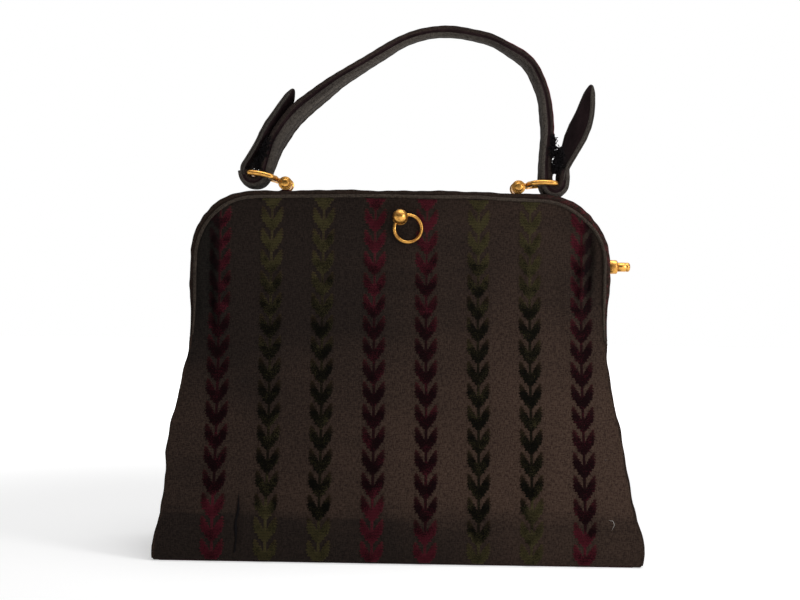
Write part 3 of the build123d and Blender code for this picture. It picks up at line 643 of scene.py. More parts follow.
def thicken(piece, thickness):
    """Give a sheet its thickness behind its face."""
    wall = piece.modifiers.new("wall", "SOLIDIFY")
    wall.thickness = thickness
    wall.offset = -1.0
    return apply_modifiers(piece)


def joined(name, pieces):
    """Several pieces joined into one."""
    work = bmesh.new()
    materials = []
    for piece in pieces:
        mesh = piece.data
        for material in mesh.materials:
            if material not in materials:
                materials.append(material)
        places = [materials.index(material) for material in mesh.materials]
        for face in mesh.polygons:
            face.material_index = places[face.material_index]
        work.from_mesh(mesh)
    mesh = bpy.data.meshes.new(name)
    work.to_mesh(mesh)
    work.free()
    for material in materials:
        mesh.materials.append(material)
    for piece in pieces:
        bpy.data.objects.remove(piece)
    made = bpy.data.objects.new(name, mesh)
    bpy.context.scene.collection.objects.link(made)
    return made


def dress(piece, body, slot, *nodes):
    """Set a piece on its body and hide the CAD nodes that it replaces. Its slot is not used."""
    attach(piece, body)
    if nodes:
        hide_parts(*nodes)
    return piece


def dress_front(piece, slot, *nodes, bend=FRONT_BEND):
    """Bake a piece's place into its mesh and hide the CAD nodes that it replaces. Its bend, between the body
    and the front half of the frame, is not used.
    """
    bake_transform(piece)
    if nodes:
        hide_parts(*nodes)
    return piece


def dress_face(piece, side, slot, *nodes):
    """Dress a piece as a front piece, or set it on the body at the back."""
    if side > 0:
        return dress_front(piece, slot, *nodes)
    return dress(piece, BODY, slot, *nodes)


def lathe(name, profile, origin, axis, steps):
    """A turned gilt piece: radius and distance pairs in millimetres, spun round an axis."""
    along = Vector(axis).normalized()
    side = along.orthogonal().normalized()
    other = along.cross(side)
    points = []
    for radius, distance in profile:
        for k in range(steps):
            angle = 2 * math.pi * k / steps
            spoke = side * math.cos(angle) + other * math.sin(angle)
            points.append(Vector(origin) + along * (distance * MM) + spoke * (radius * MM))
    faces = grid_faces(len(profile), steps, close_columns=True)
    made = mesh_piece(name, points, faces, surface("worn_gilt"))
    return outward(made)


def arc_profile(centre, radius, start, end, steps=8):
    """Radius and distance pairs round a quarter or half circle, angles from the axis."""
    return [
        (centre[0] + radius * math.sin(start + (end - start) * k / steps),
         centre[1] + radius * math.cos(start + (end - start) * k / steps))
        for k in range(steps + 1)
    ]


def rounded_route(points, radii, step):
    """Points along straight runs joined by arcs, at even steps."""
    route = [Vector(points[0])]
    for before, corner, after, radius in zip(points, points[1:], points[2:], radii):
        corner = Vector(corner)
        back = (Vector(before) - corner).normalized()
        on = (Vector(after) - corner).normalized()
        half = back.angle(on) / 2
        centre = corner + (back + on).normalized() * (radius / math.sin(half))
        start = corner + back * (radius / math.tan(half)) - centre
        end = corner + on * (radius / math.tan(half)) - centre
        sweep = start.angle(end)
        count = max(4, int(sweep * radius / step))
        for k in range(count + 1):
            share = k / count
            between = start * math.sin((1 - share) * sweep) + end * math.sin(share * sweep)
            route.append(centre + between / math.sin(sweep))
    route.append(Vector(points[-1]))
    line = np.array([tuple(point) for point in route])
    gaps = run_lengths(line)
    even = np.append(np.arange(0, gaps[-1], step), gaps[-1])
    return np.column_stack([np.interp(even, gaps, line[:, k]) for k in range(3)])


def bell(value, middle, width):
    """1 at the middle, falling to 0 on both sides."""
    return np.exp(-(((value - middle) / width) ** 2))


def run_lengths(line):
    """How far along a line each of its points is."""
    return np.r_[0, np.cumsum(np.linalg.norm(np.diff(line, axis=0), axis=1))]


def headings(line, closed=False):
    """The direction of a line at each of its points."""
    ahead = np.roll(line, -1, axis=0) - np.roll(line, 1, axis=0) if closed else np.gradient(line, axis=0)
    return ahead / np.linalg.norm(ahead, axis=1)[:, None]


def smoothed_line(line, passes):
    """A line with its bends eased, its two ends kept."""
    line = line.copy()
    for _ in range(passes):
        line[1:-1] = (line[:-2] + 2 * line[1:-1] + line[2:]) / 4
    return line


def cloth_grid(name, places, flat, material, flip=False):
    """A sheet from the grids of its coordinates and of its flat lengths across and along."""
    *places, across, along = np.broadcast_arrays(*places, *flat)
    points = np.stack(places, axis=-1).reshape(-1, 3)
    lengths = np.stack([across, along], axis=-1).reshape(-1, 2)
    return mesh_piece(name, points, grid_faces(*across.shape, flip=flip), material, lengths)


def tube(name, line, radius, material, sides=12, closed=False, up=(0, 1, 0), caps=True):
    """A round tube along a line. Radius is one number or one for each point."""
    line = np.asarray(line)
    heading = headings(line, closed)
    side = np.cross(heading, up)
    side /= np.linalg.norm(side, axis=1)[:, None]
    other = np.cross(side, heading)
    angles = np.arange(sides) * 2 * math.pi / sides
    ring = np.cos(angles)[None, :, None] * side[:, None] + np.sin(angles)[None, :, None] * other[:, None]
    thick = np.broadcast_to(radius, len(line))[:, None, None]
    points = line[:, None] + ring * thick
    flat = np.stack([
        np.repeat(run_lengths(line)[:, None], sides, axis=1),
        np.repeat((angles * np.mean(radius))[None], len(line), axis=0)], axis=-1)
    faces = grid_faces(len(line), sides, close_rows=closed, close_columns=True)
    if caps and not closed:
        faces.append(tuple(range(sides)))
        faces.append(tuple((len(line) - 1) * sides + k for k in reversed(range(sides))))
    made = mesh_piece(name, points.reshape(-1, 3), faces, material, flat.reshape(-1, 2))
    return outward(made)


# Shape of the cloth

def softened(table, height):
    """A level table read at a height, with its corners eased."""
    offsets = np.linspace(-SOFTEN_REACH, SOFTEN_REACH, 7)
    return np.mean([np.interp(height + offset, LEVEL_HEIGHT, table) for offset in offsets], axis=0)


def arch_half(height):
    """Half width inside the frame's arch."""
    corner = FRAME_CORNER - CLOTH_INSET
    rise = np.clip(height - (FRAME_TOP - FRAME_CORNER), 0, corner)
    return FRAME_HALF - FRAME_CORNER + np.sqrt(corner**2 - rise**2)


# How far each side edge stands out of its straight shape: height and distance
LEFT_EDGE = np.array([
    (0, -0.6), (20, -1.2), (36, -1.7), (50, -0.8), (60, 1.8), (76, 1.8), (96, 1.2), (129, 0.4), (150, 0.6),
]) * MM
RIGHT_EDGE = np.array([
    (0, 0.9), (12, 2.2), (20, 2.2), (28, 0.9), (36, -0.4), (76, -0.9), (92, -1.6), (108, -1.9), (125, -0.6),
    (150, -0.5),
]) * MM


def cloth_half(height, way=1):
    """Half width of the cloth at a height, on the right at 1 and on the left at -1."""
    body = np.interp(height, LEVEL_HEIGHT, LEVEL_HALF)
    eased = np.minimum(0.5 * body + 0.5 * softened(LEVEL_HALF, height), body)
    edge = np.where(
        np.asarray(way) > 0, np.interp(height, RIGHT_EDGE[:, 0], RIGHT_EDGE[:, 1]),
        np.interp(height, LEFT_EDGE[:, 0], LEFT_EDGE[:, 1]))
    return np.where(height > LIMB_END, arch_half(height), eased + edge)


def eased_step(value):
    """A value held between 0 and 1 and eased at both ends."""
    held = np.clip(value, 0, 1)
    return held * held * (3 - 2 * held)


def limb_share(height):
    """1 along the frame, falling to 0 where a limb's cover has merged into the side seam."""
    return eased_step((height - COVER_END) / (LIMB_END + 6 * MM - COVER_END))


def rim_share(x, height):
    """How far the cloth has come forward over the frame's flange, 1 at the piping."""
    far_x = np.maximum(np.abs(x) - (FRAME_HALF - FRAME_CORNER), 0)
    far_z = np.maximum(height - (FRAME_TOP - FRAME_CORNER), 0)
    inside = FRAME_CORNER - np.hypot(far_x, far_z)
    return eased_step((10 * MM - inside) / (5 * MM)) * limb_share(height)


# Folds of the slack front cloth: place and lean across, lowest and highest point, width and height
FRONT_FOLDS = [
    (109.0, 0.06, 140.0, 206.0, 1.8, 1.7),
    (113.2, 0.08, 146.0, 200.0, 1.6, -2.2),
    (104.0, 0.00, 146.0, 190.0, 2.6, -1.0),
    (100.0, -0.10, 120.0, 172.0, 4.0, 0.9),
    (-113.0, -0.06, 128.0, 200.0, 2.4, -1.8),
    (-108.0, -0.12, 118.0, 176.0, 3.2, 1.0),
    (-118.0, -0.04, 124.0, 186.0, 1.8, 1.0),
    (-90.6, -0.04, 2.0, 44.0, 1.6, -1.2),
    (-88.0, -0.30, 96.0, 150.0, 9.0, 1.0),
    (70.0, 0.35, 86.0, 150.0, 11.0, 1.0),
    (-20.0, 0.08, 100.0, 160.0, 12.0, 0.8),
    (92.0, 0.20, 30.0, 96.0, 9.0, 1.2),
]
FOLD_END = 12 * MM


def slack(x, height, side):
    """How far the soft cloth stands off its even shape, front at side 1 and back at -1."""
    size = settings().cloth.slack
    wave = 0.45 * np.sin(31 * x + 22 * height * side) * np.sin(48 * height + 1.3 + 9 * x)
    wave += 0.30 * np.sin(74 * height + 0.8 + 12 * x * side) + 0.22 * np.sin(63 * x + 40 * height)
    stand = size * wave
    if side > 0:
        for place, lean, low, high, width, rise in FRONT_FOLDS:
            middle = place * MM + lean * (height - 0.5 * (low + high) * MM)
            across = bell(x, middle, width * MM)
            along = np.clip((height - low * MM) / FOLD_END, 0, 1)
            along = along * np.clip((high * MM - height) / FOLD_END, 0, 1)
            stand = stand + rise * MM * across * along
    inside = np.clip((cloth_half(height, np.sign(x)) - np.abs(x)) / (9 * MM), 0, 1)
    ends = np.clip(height / (14 * MM), 0, 1) * np.clip((FRAME_TOP - 4 * MM - height) / (10 * MM), 0, 1)
    return stand * inside * ends * ends


def cloth_depth(x, height, side=1):
    """Distance of the cloth's outer face from the middle plane."""
    depth = softened(LEVEL_SIDE, height)
    full = softened(LEVEL_FULL, height)
    half = softened(LEVEL_HALF, height)
    depth = depth + full * np.maximum(1 - (x / half) ** 2, 0) + slack(x, height, side)
    forward = np.maximum(FLANGE_FRONT - depth, 0)
    return depth + forward * rim_share(x, height)


def cloth_sheet(name, side, inset, material, low=0.0, rows=150, columns=161):
    """The front cloth, or the back at side -1, or a lining sheet at an inset behind it."""
    foot = np.linspace(0, 12 * MM, 12)[:-1]
    heights = np.r_[foot, np.linspace(12 * MM, FRAME_TOP - CLOTH_INSET, rows)]
    heights = heights[heights >= low]
    even = np.linspace(-1, 1, columns)
    shares = (0.35 * np.sin(even * math.pi / 2) + 0.65 * even)[None, :]
    height = np.repeat(heights[:, None], columns, axis=1)
    x = shares * (cloth_half(height, np.sign(shares)) - inset * (2 - 1.5 * limb_share(height)))
    depth = cloth_depth(x, height, side) - inset
    roll = settings().cloth.foot_roll
    tuck = np.clip(1 - height / roll, 0, 1)
    depth = depth - roll * (1 - np.sqrt(1 - tuck**2))
    slope = np.hypot(np.diff(heights), np.diff(depth[:, columns // 2]))
    climb = np.r_[heights[0], heights[0] + np.cumsum(slope)][:, None]
    return cloth_grid(name, (x, -side * depth, height), (x, climb), material, flip=side < 0)


class HANDBAG_OT_body_cloth(bpy.types.Operator):
    """Make the front and back cloth, the gussets and the piped side seams"""
    bl_idname = "handbag.body_cloth"
    bl_label = "Body Cloth"

    def execute(self, context):
        wall = settings().cloth.thickness
        panels = {"front": ("front_panel", "front_panel_top"), "back": ("back_panel",)}
        for face, side in FACES:
            sheet = thicken(cloth_sheet(f"{face}_cloth", side, 0, surface("ribbed_ground_cloth")), wall)
            dress_face(sheet, side, "ribbed_cloth", *panels[face])
        for word, way in SIDES:
            gusset = thicken(self.gusset(f"{word}_gusset_cloth", way), wall)
            dress_front(gusset, "ribbed_cloth", f"{word}_gusset", bend=GUSSET_BEND)
            for face, side in FACES:
                dress_face(self.side_seam(f"{word}_{face}_side_seam", way, side), side, "piping_cloth")
        return {"FINISHED"}

    def gusset(self, name, way):
        """A side panel folded inwards along its middle, softly and more so towards the frame."""
        heights = np.linspace(0.4 * MM, HINGE.z - 3 * MM, 90)
        shares = np.linspace(-1, 1, 51)
        half = cloth_half(heights, way)[:, None] - 1.2 * MM
        depth = softened(LEVEL_SIDE, heights)[:, None] - 0.9 * MM
        fold = softened(GUSSET_FOLD, heights)[:, None]
        soft = (1 - np.abs(shares) ** 1.5)[None, :]
        ripple = 0.8 * MM * np.sin(9 * shares[None, :] + 60 * heights[:, None]) * soft * (fold / (10 * MM))
        x = half - fold * soft - ripple
        y = shares[None, :] * depth
        z = heights[:, None]
        return cloth_grid(name, (way * x, y, z), (y, z), surface("ribbed_side_cloth"), flip=way < 0)

    def side_seam(self, name, way, side):
        """The turned edge where the body cloth is sewn to a gusset."""
        heights = np.linspace(1.5 * MM, LIMB_END + 2 * MM, 120)
        edge = cloth_half(heights, way)
        wobble = 0.25 * MM * np.sin(heights * 190) + 0.18 * MM * np.sin(heights * 410 + 1)
        y = -side * (cloth_depth(way * edge, heights, side) - 0.8 * MM)
        line = np.column_stack([way * (edge - 0.6 * MM + wobble), y, heights])
        thick = 0.95 * MM + 0.12 * MM * np.sin(heights * 260)
        return tube(name, line, thick, surface("ribbed_side_cloth"), 10)


# Leaf chains

# Half outline of a leaf pair, from its point up: share of its height, outer edge and inner edge
LEAF_EDGES = np.array([
    (0.00, 0.16, 0.00), (0.05, 0.32, 0.00), (0.13, 0.48, 0.00), (0.25, 0.64, 0.00), (0.33, 0.70, 0.00),
    (0.37, 0.86, 0.00), (0.44, 0.92, 0.10), (0.55, 0.98, 0.20), (0.65, 1.00, 0.32), (0.75, 1.02, 0.46),
    (0.90, 1.00, 0.70), (1.00, 0.92, 0.82),
])
STEM_HALF = 0.13
LEAF_OVERLAP = 1.1


def motif_rows(shuffle):
    """The pile rows of one leaf pair: height above its point and the spans across that hold pile."""
    leaves = settings().leaves
    tall = leaves.pitch * LEAF_OVERLAP
    rows = []
    for k in range(leaves.ribs):
        share = (k + 0.5) / leaves.ribs
        outer = np.interp(share, LEAF_EDGES[:, 0], LEAF_EDGES[:, 1])
        inner = np.interp(share, LEAF_EDGES[:, 0], LEAF_EDGES[:, 2])
        tooth = (0.06, 0.0, -0.06)[k % 3]
        ends = [outer + tooth + shuffle.uniform(-0.05, 0.05) for _ in range(2)]
        if inner < STEM_HALF:
            spans = [(-ends[0], ends[1])]
        else:
            gaps = [inner - tooth + shuffle.uniform(-0.04, 0.04) for _ in range(2)]
            spans = [(-ends[0], -gaps[0]), (-STEM_HALF, STEM_HALF), (gaps[1], ends[1])]
        rows.append((share * tall, [span for span in spans if span[1] - span[0] > 0.05]))
    return rows


def leaf_motif():
    """One flat leaf pair of pile rows, hanging from the top of its repeat.
    Its attributes: tip along the stem and tips, core away from the edges, rib in the deeper rows, which the
    pile's material darkens as painted shade."""
    leaves = settings().leaves
    shuffle = random.Random(4)
    tall = leaves.pitch * LEAF_OVERLAP
    bar = tall / leaves.ribs
    points, faces, tips, cores, ribs = [], [], [], [], []
    for k, (rise, spans) in enumerate(motif_rows(shuffle)):
        middle = rise - tall + leaves.pitch / 2
        deep = 1.0 if k % 3 == 2 else 0.0
        for left, right in spans:
            reach = (right - left) * leaves.half_width
            count = max(2, int(round(reach / leaves.tuft)) + 1)
            stem = right == STEM_HALF
            start = len(points)
            for step in range(count):
                x = (left + (right - left) * step / (count - 1)) * leaves.half_width
                edge = min(step, count - 1 - step) * leaves.tuft
                lift = (0.45 if edge == 0 else 1.0) * (0.62 if deep else 1.0) * (0.7 if stem else 1.0)
                lift *= 1 + shuffle.uniform(-0.18, 0.18)
                for across, up in ((-0.5, 0.0), (0.0, 1.0), (0.5, 0.0)):
                    wander = shuffle.uniform(-0.08, 0.08) * bar
                    points.append((x, -leaves.pile * lift * up, middle + across * bar + wander))
                    tips.append(0.12 if stem else max(0.0, rise / tall - 0.62) * 2.0)
                    cores.append(min(1.0, edge / (1.2 * MM)))
                    ribs.append(deep)
            for step in range(count - 1):
                for side in range(2):
                    a = start + 3 * step + side
                    faces.append((a, a + 3, a + 4, a + 1))
    made = mesh_piece("leaf_motif", points, faces, surface("burgundy_cut_pile"))
    for name, values in (("tip", tips), ("core", cores), ("rib", ribs)):
        layer = made.data.attributes.new(name, "FLOAT", "POINT")
        layer.data.foreach_set("value", values)
    return made


def leaf_chain_tree():
    """Chains of one colour: a grid of leaf pairs, laid on the cloth and cut off at the frame."""
    tree, given, result = new_group(
        "Leaf Chains", "GeometryNodeTree",
        [("Motif", OBJECT, None), ("Cloth", OBJECT, None), ("Columns", WHOLE, 8), ("Rows", WHOLE, 18),
         ("Spacing", VALUE, 30 * MM), ("Pitch", VALUE, 12.8 * MM), ("Spread", VALUE, 1.0),
         ("Lean", VALUE, 0.0), ("Drift", VALUE, 0.0), ("Colour Place", VALUE, 0.0), ("Side", VALUE, 1.0),
         ("Half", VALUE, 0.12), ("Top", VALUE, 0.21), ("Corner", VALUE, 38 * MM),
         ("Material", MATERIAL, None)],
        [("Geometry", GEOMETRY)])
    columns, rows, corner, side = given["Columns"], given["Rows"], given["Corner"], given["Side"]
    wide = given["Spacing"] * (columns - 1)
    tall = given["Pitch"] * (rows - 1)
    grid = node(tree, "GeometryNodeMeshGrid", {
        "Size X": wide, "Size Y": tall, "Vertices X": columns, "Vertices Y": rows})
    parts = axes(node(tree, "GeometryNodeInputPosition")[0])
    across, out, up = parts[0], parts[1], parts[2]

    # Each point of the flat grid stands up on the face, and the points of the other colour go
    height = out + tall * 0.5 + given["Pitch"] * 0.53
    spread = across * ramp(height, 0.04, 0.16, 1.0, given["Spread"])
    leaning = given["Drift"] + ramp(height, 0.04, 0.17, 0.0, given["Lean"])
    column = maths("ROUND", across / given["Spacing"] + (columns - 1) * 0.5)
    colour = maths("MODULO", maths("FLOOR", (column + 1) * 0.5), 2)
    other = 1 - maths("COMPARE", colour, given["Colour Place"], 0.1)
    own = node(tree, "GeometryNodeDeleteGeometry", {"Geometry": grid["Mesh"], "Selection": other})
    upright = vector(tree, spread + leaning, 0.0, height)
    kept = node(tree, "GeometryNodeSetPosition", {"Geometry": own[0], "Position": upright})
    motif = node(tree, "GeometryNodeObjectInfo", {"Object": given["Motif"]})["Geometry"]
    placed = node(tree, "GeometryNodeInstanceOnPoints", {"Points": kept[0], "Instance": motif})
    real = node(tree, "GeometryNodeRealizeInstances", {0: placed[0]})

    # The leaf pairs are laid on the cloth along the depth of the bag, and keep their own rise from it
    cloth = node(tree, "GeometryNodeObjectInfo", {"Object": given["Cloth"]})["Geometry"]
    cast = node(tree, "GeometryNodeRaycast", {
        "Target Geometry": cloth, "Source Position": vector(tree, across, side * -0.3, up),
        "Ray Direction": vector(tree, 0.0, side, 0.0), "Ray Length": 0.6})
    lift = node(
        tree, "ShaderNodeVectorMath", {0: cast["Hit Normal"], "Scale": out * -1}, operation="SCALE")[0]
    target = vector_maths("ADD", cast["Hit Position"], lift)
    laid = node(tree, "GeometryNodeSetPosition", {"Geometry": real[0], "Position": target})

    # What lies past the frame's rounded arch, under the base or off the cloth is cut away
    far_x = maths("MAXIMUM", maths("ABSOLUTE", across) - (given["Half"] - corner), 0)
    far_z = maths("MAXIMUM", up - (given["Top"] - corner), 0)
    beyond = maths("GREATER_THAN", maths("SQRT", far_x * far_x + far_z * far_z), corner)
    under = maths("LESS_THAN", up, 0.6 * MM)
    cut = maths("MAXIMUM", maths("MAXIMUM", beyond, under), 1 - cast["Is Hit"])
    trimmed = node(tree, "GeometryNodeDeleteGeometry", {"Geometry": laid[0], "Selection": cut})
    coated = node(tree, "GeometryNodeSetMaterial", {"Geometry": trimmed[0], "Material": given["Material"]})
    feed(tree, result, {"Geometry": coated[0]})
    return tree


def grown(name, tree, values):
    """A plain mesh piece grown by a geometry node tree."""
    seed = bpy.data.objects.new(name, bpy.data.meshes.new(name))
    bpy.context.scene.collection.objects.link(seed)
    growth = seed.modifiers.new("growth", "NODES")
    growth.node_group = tree
    for item in tree.interface.items_tree:
        if item.item_type == "SOCKET" and item.in_out == "INPUT" and item.name in values:
            growth[item.identifier] = values[item.name]
    return apply_modifiers(seed)


class HANDBAG_OT_leaf_chains(bpy.types.Operator):
    """Grow the raised leaf chains on the front and the back"""
    bl_idname = "handbag.leaf_chains"
    bl_label = "Leaf Chains"

    def execute(self, context):
        leaves = settings().leaves
        motif = leaf_motif()
        tree = leaf_chain_tree()
        inset = 2.7 * MM
        for face, side in FACES:
            for place, word in enumerate(("burgundy", "green")):
                chains = grown(f"{face}_{word}_chains", tree, {
                    "Motif": motif, "Cloth": bpy.data.objects[f"{face}_cloth"], "Columns": leaves.columns,
                    "Rows": leaves.rows, "Spacing": leaves.spacing, "Pitch": leaves.pitch,
                    "Spread": leaves.spread, "Lean": leaves.lean, "Drift": leaves.drift,
                    "Colour Place": float(place), "Side": float(side), "Half": FRAME_HALF - inset,
                    "Top": FRAME_TOP - inset, "Corner": FRAME_CORNER - inset,
                    "Material": surface(f"{word}_cut_pile"),
                })
                top = [f"top_leaves_{word}"] if side > 0 else []
                dress_face(chains, side, f"{word}_pile", f"{face}_leaves_{word}", *top)
        bpy.data.objects.remove(motif)
        return {"FINISHED"}


class HANDBAG_OT_lining(bpy.types.Operator):
    """Make the lining sheets, the lining of the gussets and the floor"""
    bl_idname = "handbag.lining"
    bl_label = "Lining"

    def execute(self, context):
        twill, inset, low = surface("lining_twill"), 2.6 * MM, 5 * MM
        for face, side in FACES:
            sheet = thicken(cloth_sheet(f"{face}_lining", side, inset, twill, low, 70, 71), 0.6 * MM)
            dress_face(sheet, side, "lining_cloth", f"{face}_facing")
        sides = [self.side(f"{word}_side_lining", way) for word, way in SIDES]
        tub = joined("side_and_floor_lining", [*sides, self.floor()])
        dress_front(tub, "lining_cloth", "lining", bend=GUSSET_BEND)
        return {"FINISHED"}

    def side(self, name, way):
        """The lining behind one gusset."""
        heights = np.linspace(5 * MM, HINGE.z - 8 * MM, 60)
        shares = np.linspace(-1, 1, 31)
        half = cloth_half(heights, way)[:, None] - 3.9 * MM
        reach = softened(LEVEL_SIDE, heights)[:, None] - 0.9 * MM
        fold = softened(GUSSET_FOLD, heights)[:, None]
        y = shares[None, :] * (reach - 2.5 * MM)
        x = half - fold * (1 - np.abs(y / reach) ** 1.5)
        z = heights[:, None]
        sheet = cloth_grid(name, (way * x, y, z), (y, z), surface("lining_twill"), flip=way > 0)
        return thicken(sheet, 0.5 * MM)

    def floor(self):
        """The lining over the base board."""
        low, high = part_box("base_board")
        x = np.linspace(low.x - 1 * MM, high.x + 1 * MM, 60)
        y = np.linspace(low.y - 1 * MM, high.y + 1 * MM, 24)
        across, deep = np.meshgrid(x, y)
        sag = 0.25 * MM * np.sin(across * 70) * np.sin(deep * 90)
        places = (across, deep, high.z + 0.9 * MM + sag)
        return thicken(cloth_grid("floor_lining", places, (across, deep), surface("lining_twill")), 0.5 * MM)


# Frame covers and piping

# The covers' soft roll: place across the bag, how far it stands out of the frame, and its width seen in front
COVER_ROLL = np.array([
    (-125, 1.0, 2.6), (-120, 1.9, 3.2), (-109, 2.1, 3.5), (-99, 1.9, 3.3), (-90, 1.3, 2.9), (-58, 1.5, 2.7),
    (-35, 2.4, 2.7), (48, 2.6, 2.7), (60, 2.1, 2.8), (84, 1.5, 3.2), (101, 1.2, 3.8), (112, 0.8, 3.9),
    (125, 0.3, 2.4),
]) * MM


class FrameLine:
    """The frame's outline from the left limb's end over the top to the right one's, in the plane y 0."""

    def __init__(self):
        half, top = FRAME_HALF, FRAME_TOP
        ends = [(-half, 0, COVER_END), (-half, 0, top), (half, 0, top), (half, 0, COVER_END)]
        line = rounded_route(ends, [FRAME_CORNER, FRAME_CORNER], 1.2 * MM)
        self.share = limb_share(line[:, 2])
        side = np.sign(line[:, 0])
        seam = cloth_half(np.minimum(line[:, 2], LIMB_END), side) + 0.2 * MM
        limb = line[:, 2] < FRAME_TOP - FRAME_CORNER
        line[limb, 0] = (side * (seam + (half - seam) * self.share))[limb]
        self.line = line
        heading = headings(line)
        self.inward = np.column_stack([heading[:, 2], np.zeros(len(line)), -heading[:, 0]])
        self.lengths = run_lengths(line)
        self.crown = np.interp(line[:, 0], COVER_ROLL[:, 0], COVER_ROLL[:, 1]) * self.share
        self.band = np.interp(line[:, 0], COVER_ROLL[:, 0], COVER_ROLL[:, 2]) * (0.2 + 0.8 * self.share)

    def seam_depth(self, side):
        """Depth of the side seam that the cover's ends merge into."""
        heights = np.minimum(self.line[:, 2], LIMB_END)
        edge = np.sign(self.line[:, 0]) * cloth_half(heights, np.sign(self.line[:, 0]))
        return cloth_depth(edge, heights, side)

    def place(self, inset, depth, side):
        """Points at an inset from the rolled edge and at a depth, drawn onto the seam at both ends."""
        row = self.line + self.inward * (inset - self.crown)[:, None]
        seam = self.seam_depth(side) + 0.4 * MM
        row[:, 1] = -side * (seam + (depth - seam) * self.share)
        return row


class HANDBAG_OT_frame_cloth(bpy.types.Operator):
    """Roll the cloth covers over the frame halves and lay the corded piping inside them"""
    bl_idname = "handbag.frame_cloth"
    bl_label = "Frame Cloth"

    def execute(self, context):
        outline = FrameLine()
        for face, side in FACES:
            cover = self.cover(f"{face}_rolled_cover", outline, side)
            dress_face(cover, side, "ribbed_cloth", f"{face}_frame_cover")
            piping = self.piping(f"{face}_corded_piping", outline, side)
            dress_face(piping, side, "piping_cloth", f"{face}_piping")
        return {"FINISHED"}

    def section(self):
        """The cover's section: share of its front width, distance in from its top, depth, and softness."""
        back, front, roll = PARTING / MM, COVER_FRONT / MM, 2.4
        rows = [
            (0, 1.6, back + 0.1, 0), (0, 0.5, back + 0.2, 0), (0, 0.1, back + 0.8, 0.3),
            (0, 0.0, back + 2.2, 1), (0, 0.0, front - roll - 1, 1),
        ]
        for k in range(1, 7):
            angle = k * math.pi / 12
            rows.append((0, roll * (1 - math.cos(angle)), front - roll + roll * math.sin(angle), 1))
        rows += [(1, 0.1, front + 0.05, 0.6), (1, 0.5, front - 0.5, 0), (1, 0.4, front - 1.4, 0)]
        return [(wide, inset * MM, depth * MM, soft) for wide, inset, depth, soft in rows]

    def cover(self, name, outline, side):
        """Cloth drawn over one frame half, a little uneven along its length."""
        lengths = outline.lengths
        lumps = 0.22 * MM * np.sin(lengths * 95) + 0.16 * MM * np.sin(lengths * 233 + 1)
        lumps += 0.10 * MM * np.sin(lengths * 610 + 2)
        corner = bell(np.abs(outline.line[:, 0]), 112 * MM, 12 * MM)
        lumps += 0.14 * MM * np.sin(lengths * 900) * corner
        rows, flat = [], []
        section = self.section()
        around, before, usual_width = 0.0, section[0], 2.6 * MM
        for wide, inset, depth, soft in section:
            around += math.hypot(inset - before[1], depth - before[2]) + (wide - before[0]) * usual_width
            before = (wide, inset, depth)
            distance = wide * outline.band + inset * (0.3 + 0.7 * outline.share)
            distance = distance - soft * lumps * outline.share
            rows.append(outline.place(distance, depth, side))
            flat.append(np.column_stack([lengths, np.full(len(lengths), around)]))
        faces = grid_faces(len(rows), len(lengths), flip=side > 0)
        points, flat = np.concatenate(rows), np.concatenate(flat)
        return thicken(mesh_piece(name, points, faces, surface("frame_cover_cloth"), flat), 0.5 * MM)

    def piping(self, name, outline, side):
        """Covered cord along the inner edge of one cover."""
        radius = 1.05 * MM
        sway = 0.14 * MM * np.sin(outline.lengths * 130)
        inset = outline.band + 0.9 * radius + sway * outline.share
        depth = COVER_FRONT + 0.25 * MM + 0.12 * MM * np.sin(outline.lengths * 75)
        line = smoothed_line(outline.place(inset, depth, side), 4)
        thick = radius * (1 + 0.05 * np.sin(outline.lengths * 320)) * (0.6 + 0.4 * outline.share)
        return tube(name, line, thick, surface("corded_piping_cloth"), 12)


# Strap handle

PIVOT = {"left": cad_centre("left_stirrup_pin"), "right": cad_centre("right_stirrup_pin")}
PIVOT_SIGN = dict(SIDES)

# The strap's cloth on its inner side, velvet in the groove and on the tails, cloth on its outer side, and the
# rose pile that shows where that cloth is worn through
STRAP_COATS = ("ribbed_strap_cloth", "dark_velvet", "strap_side_cloth", "rose_velvet")


def lift_with_handle(piece):
    """Give a piece its own copy of its mesh."""
    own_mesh(piece)


def stirrup_bar(word):
    """Middle of a stirrup's bar, from the box of its CAD node and its reach."""
    strap = settings().strap
    low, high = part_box(f"{word}_stirrup")
    outer = high.x if word == "right" else -low.x
    run = outer - strap.wire / 2 - abs(PIVOT[word].x)
    rise = math.sqrt(max(strap.reach**2 - run**2, 0))
    return Vector((PIVOT_SIGN[word] * (abs(PIVOT[word].x) + run), PIVOT[word].y, PIVOT[word].z + rise))


def band_section():
    """Points round the band's section: place across, over 1 on the edge roll, and height."""
    top = [(0.0, 1.0), (0.35, 0.98), (0.7, 0.92), (0.93, 0.80), (1.02, 0.66), (1.12, 0.80)]
    edge = [(1.35, 0.93), (1.62, 0.92), (1.86, 0.76), (1.98, 0.5), (1.97, 0.26), (1.80, 0.06)]
    right = top + edge + [(1.66, 0.0)]
    half = right + [(place, -up) for place, up in reversed(right[:-1])]
    return half + [(-place, up) for place, up in reversed(half[1:-1])]


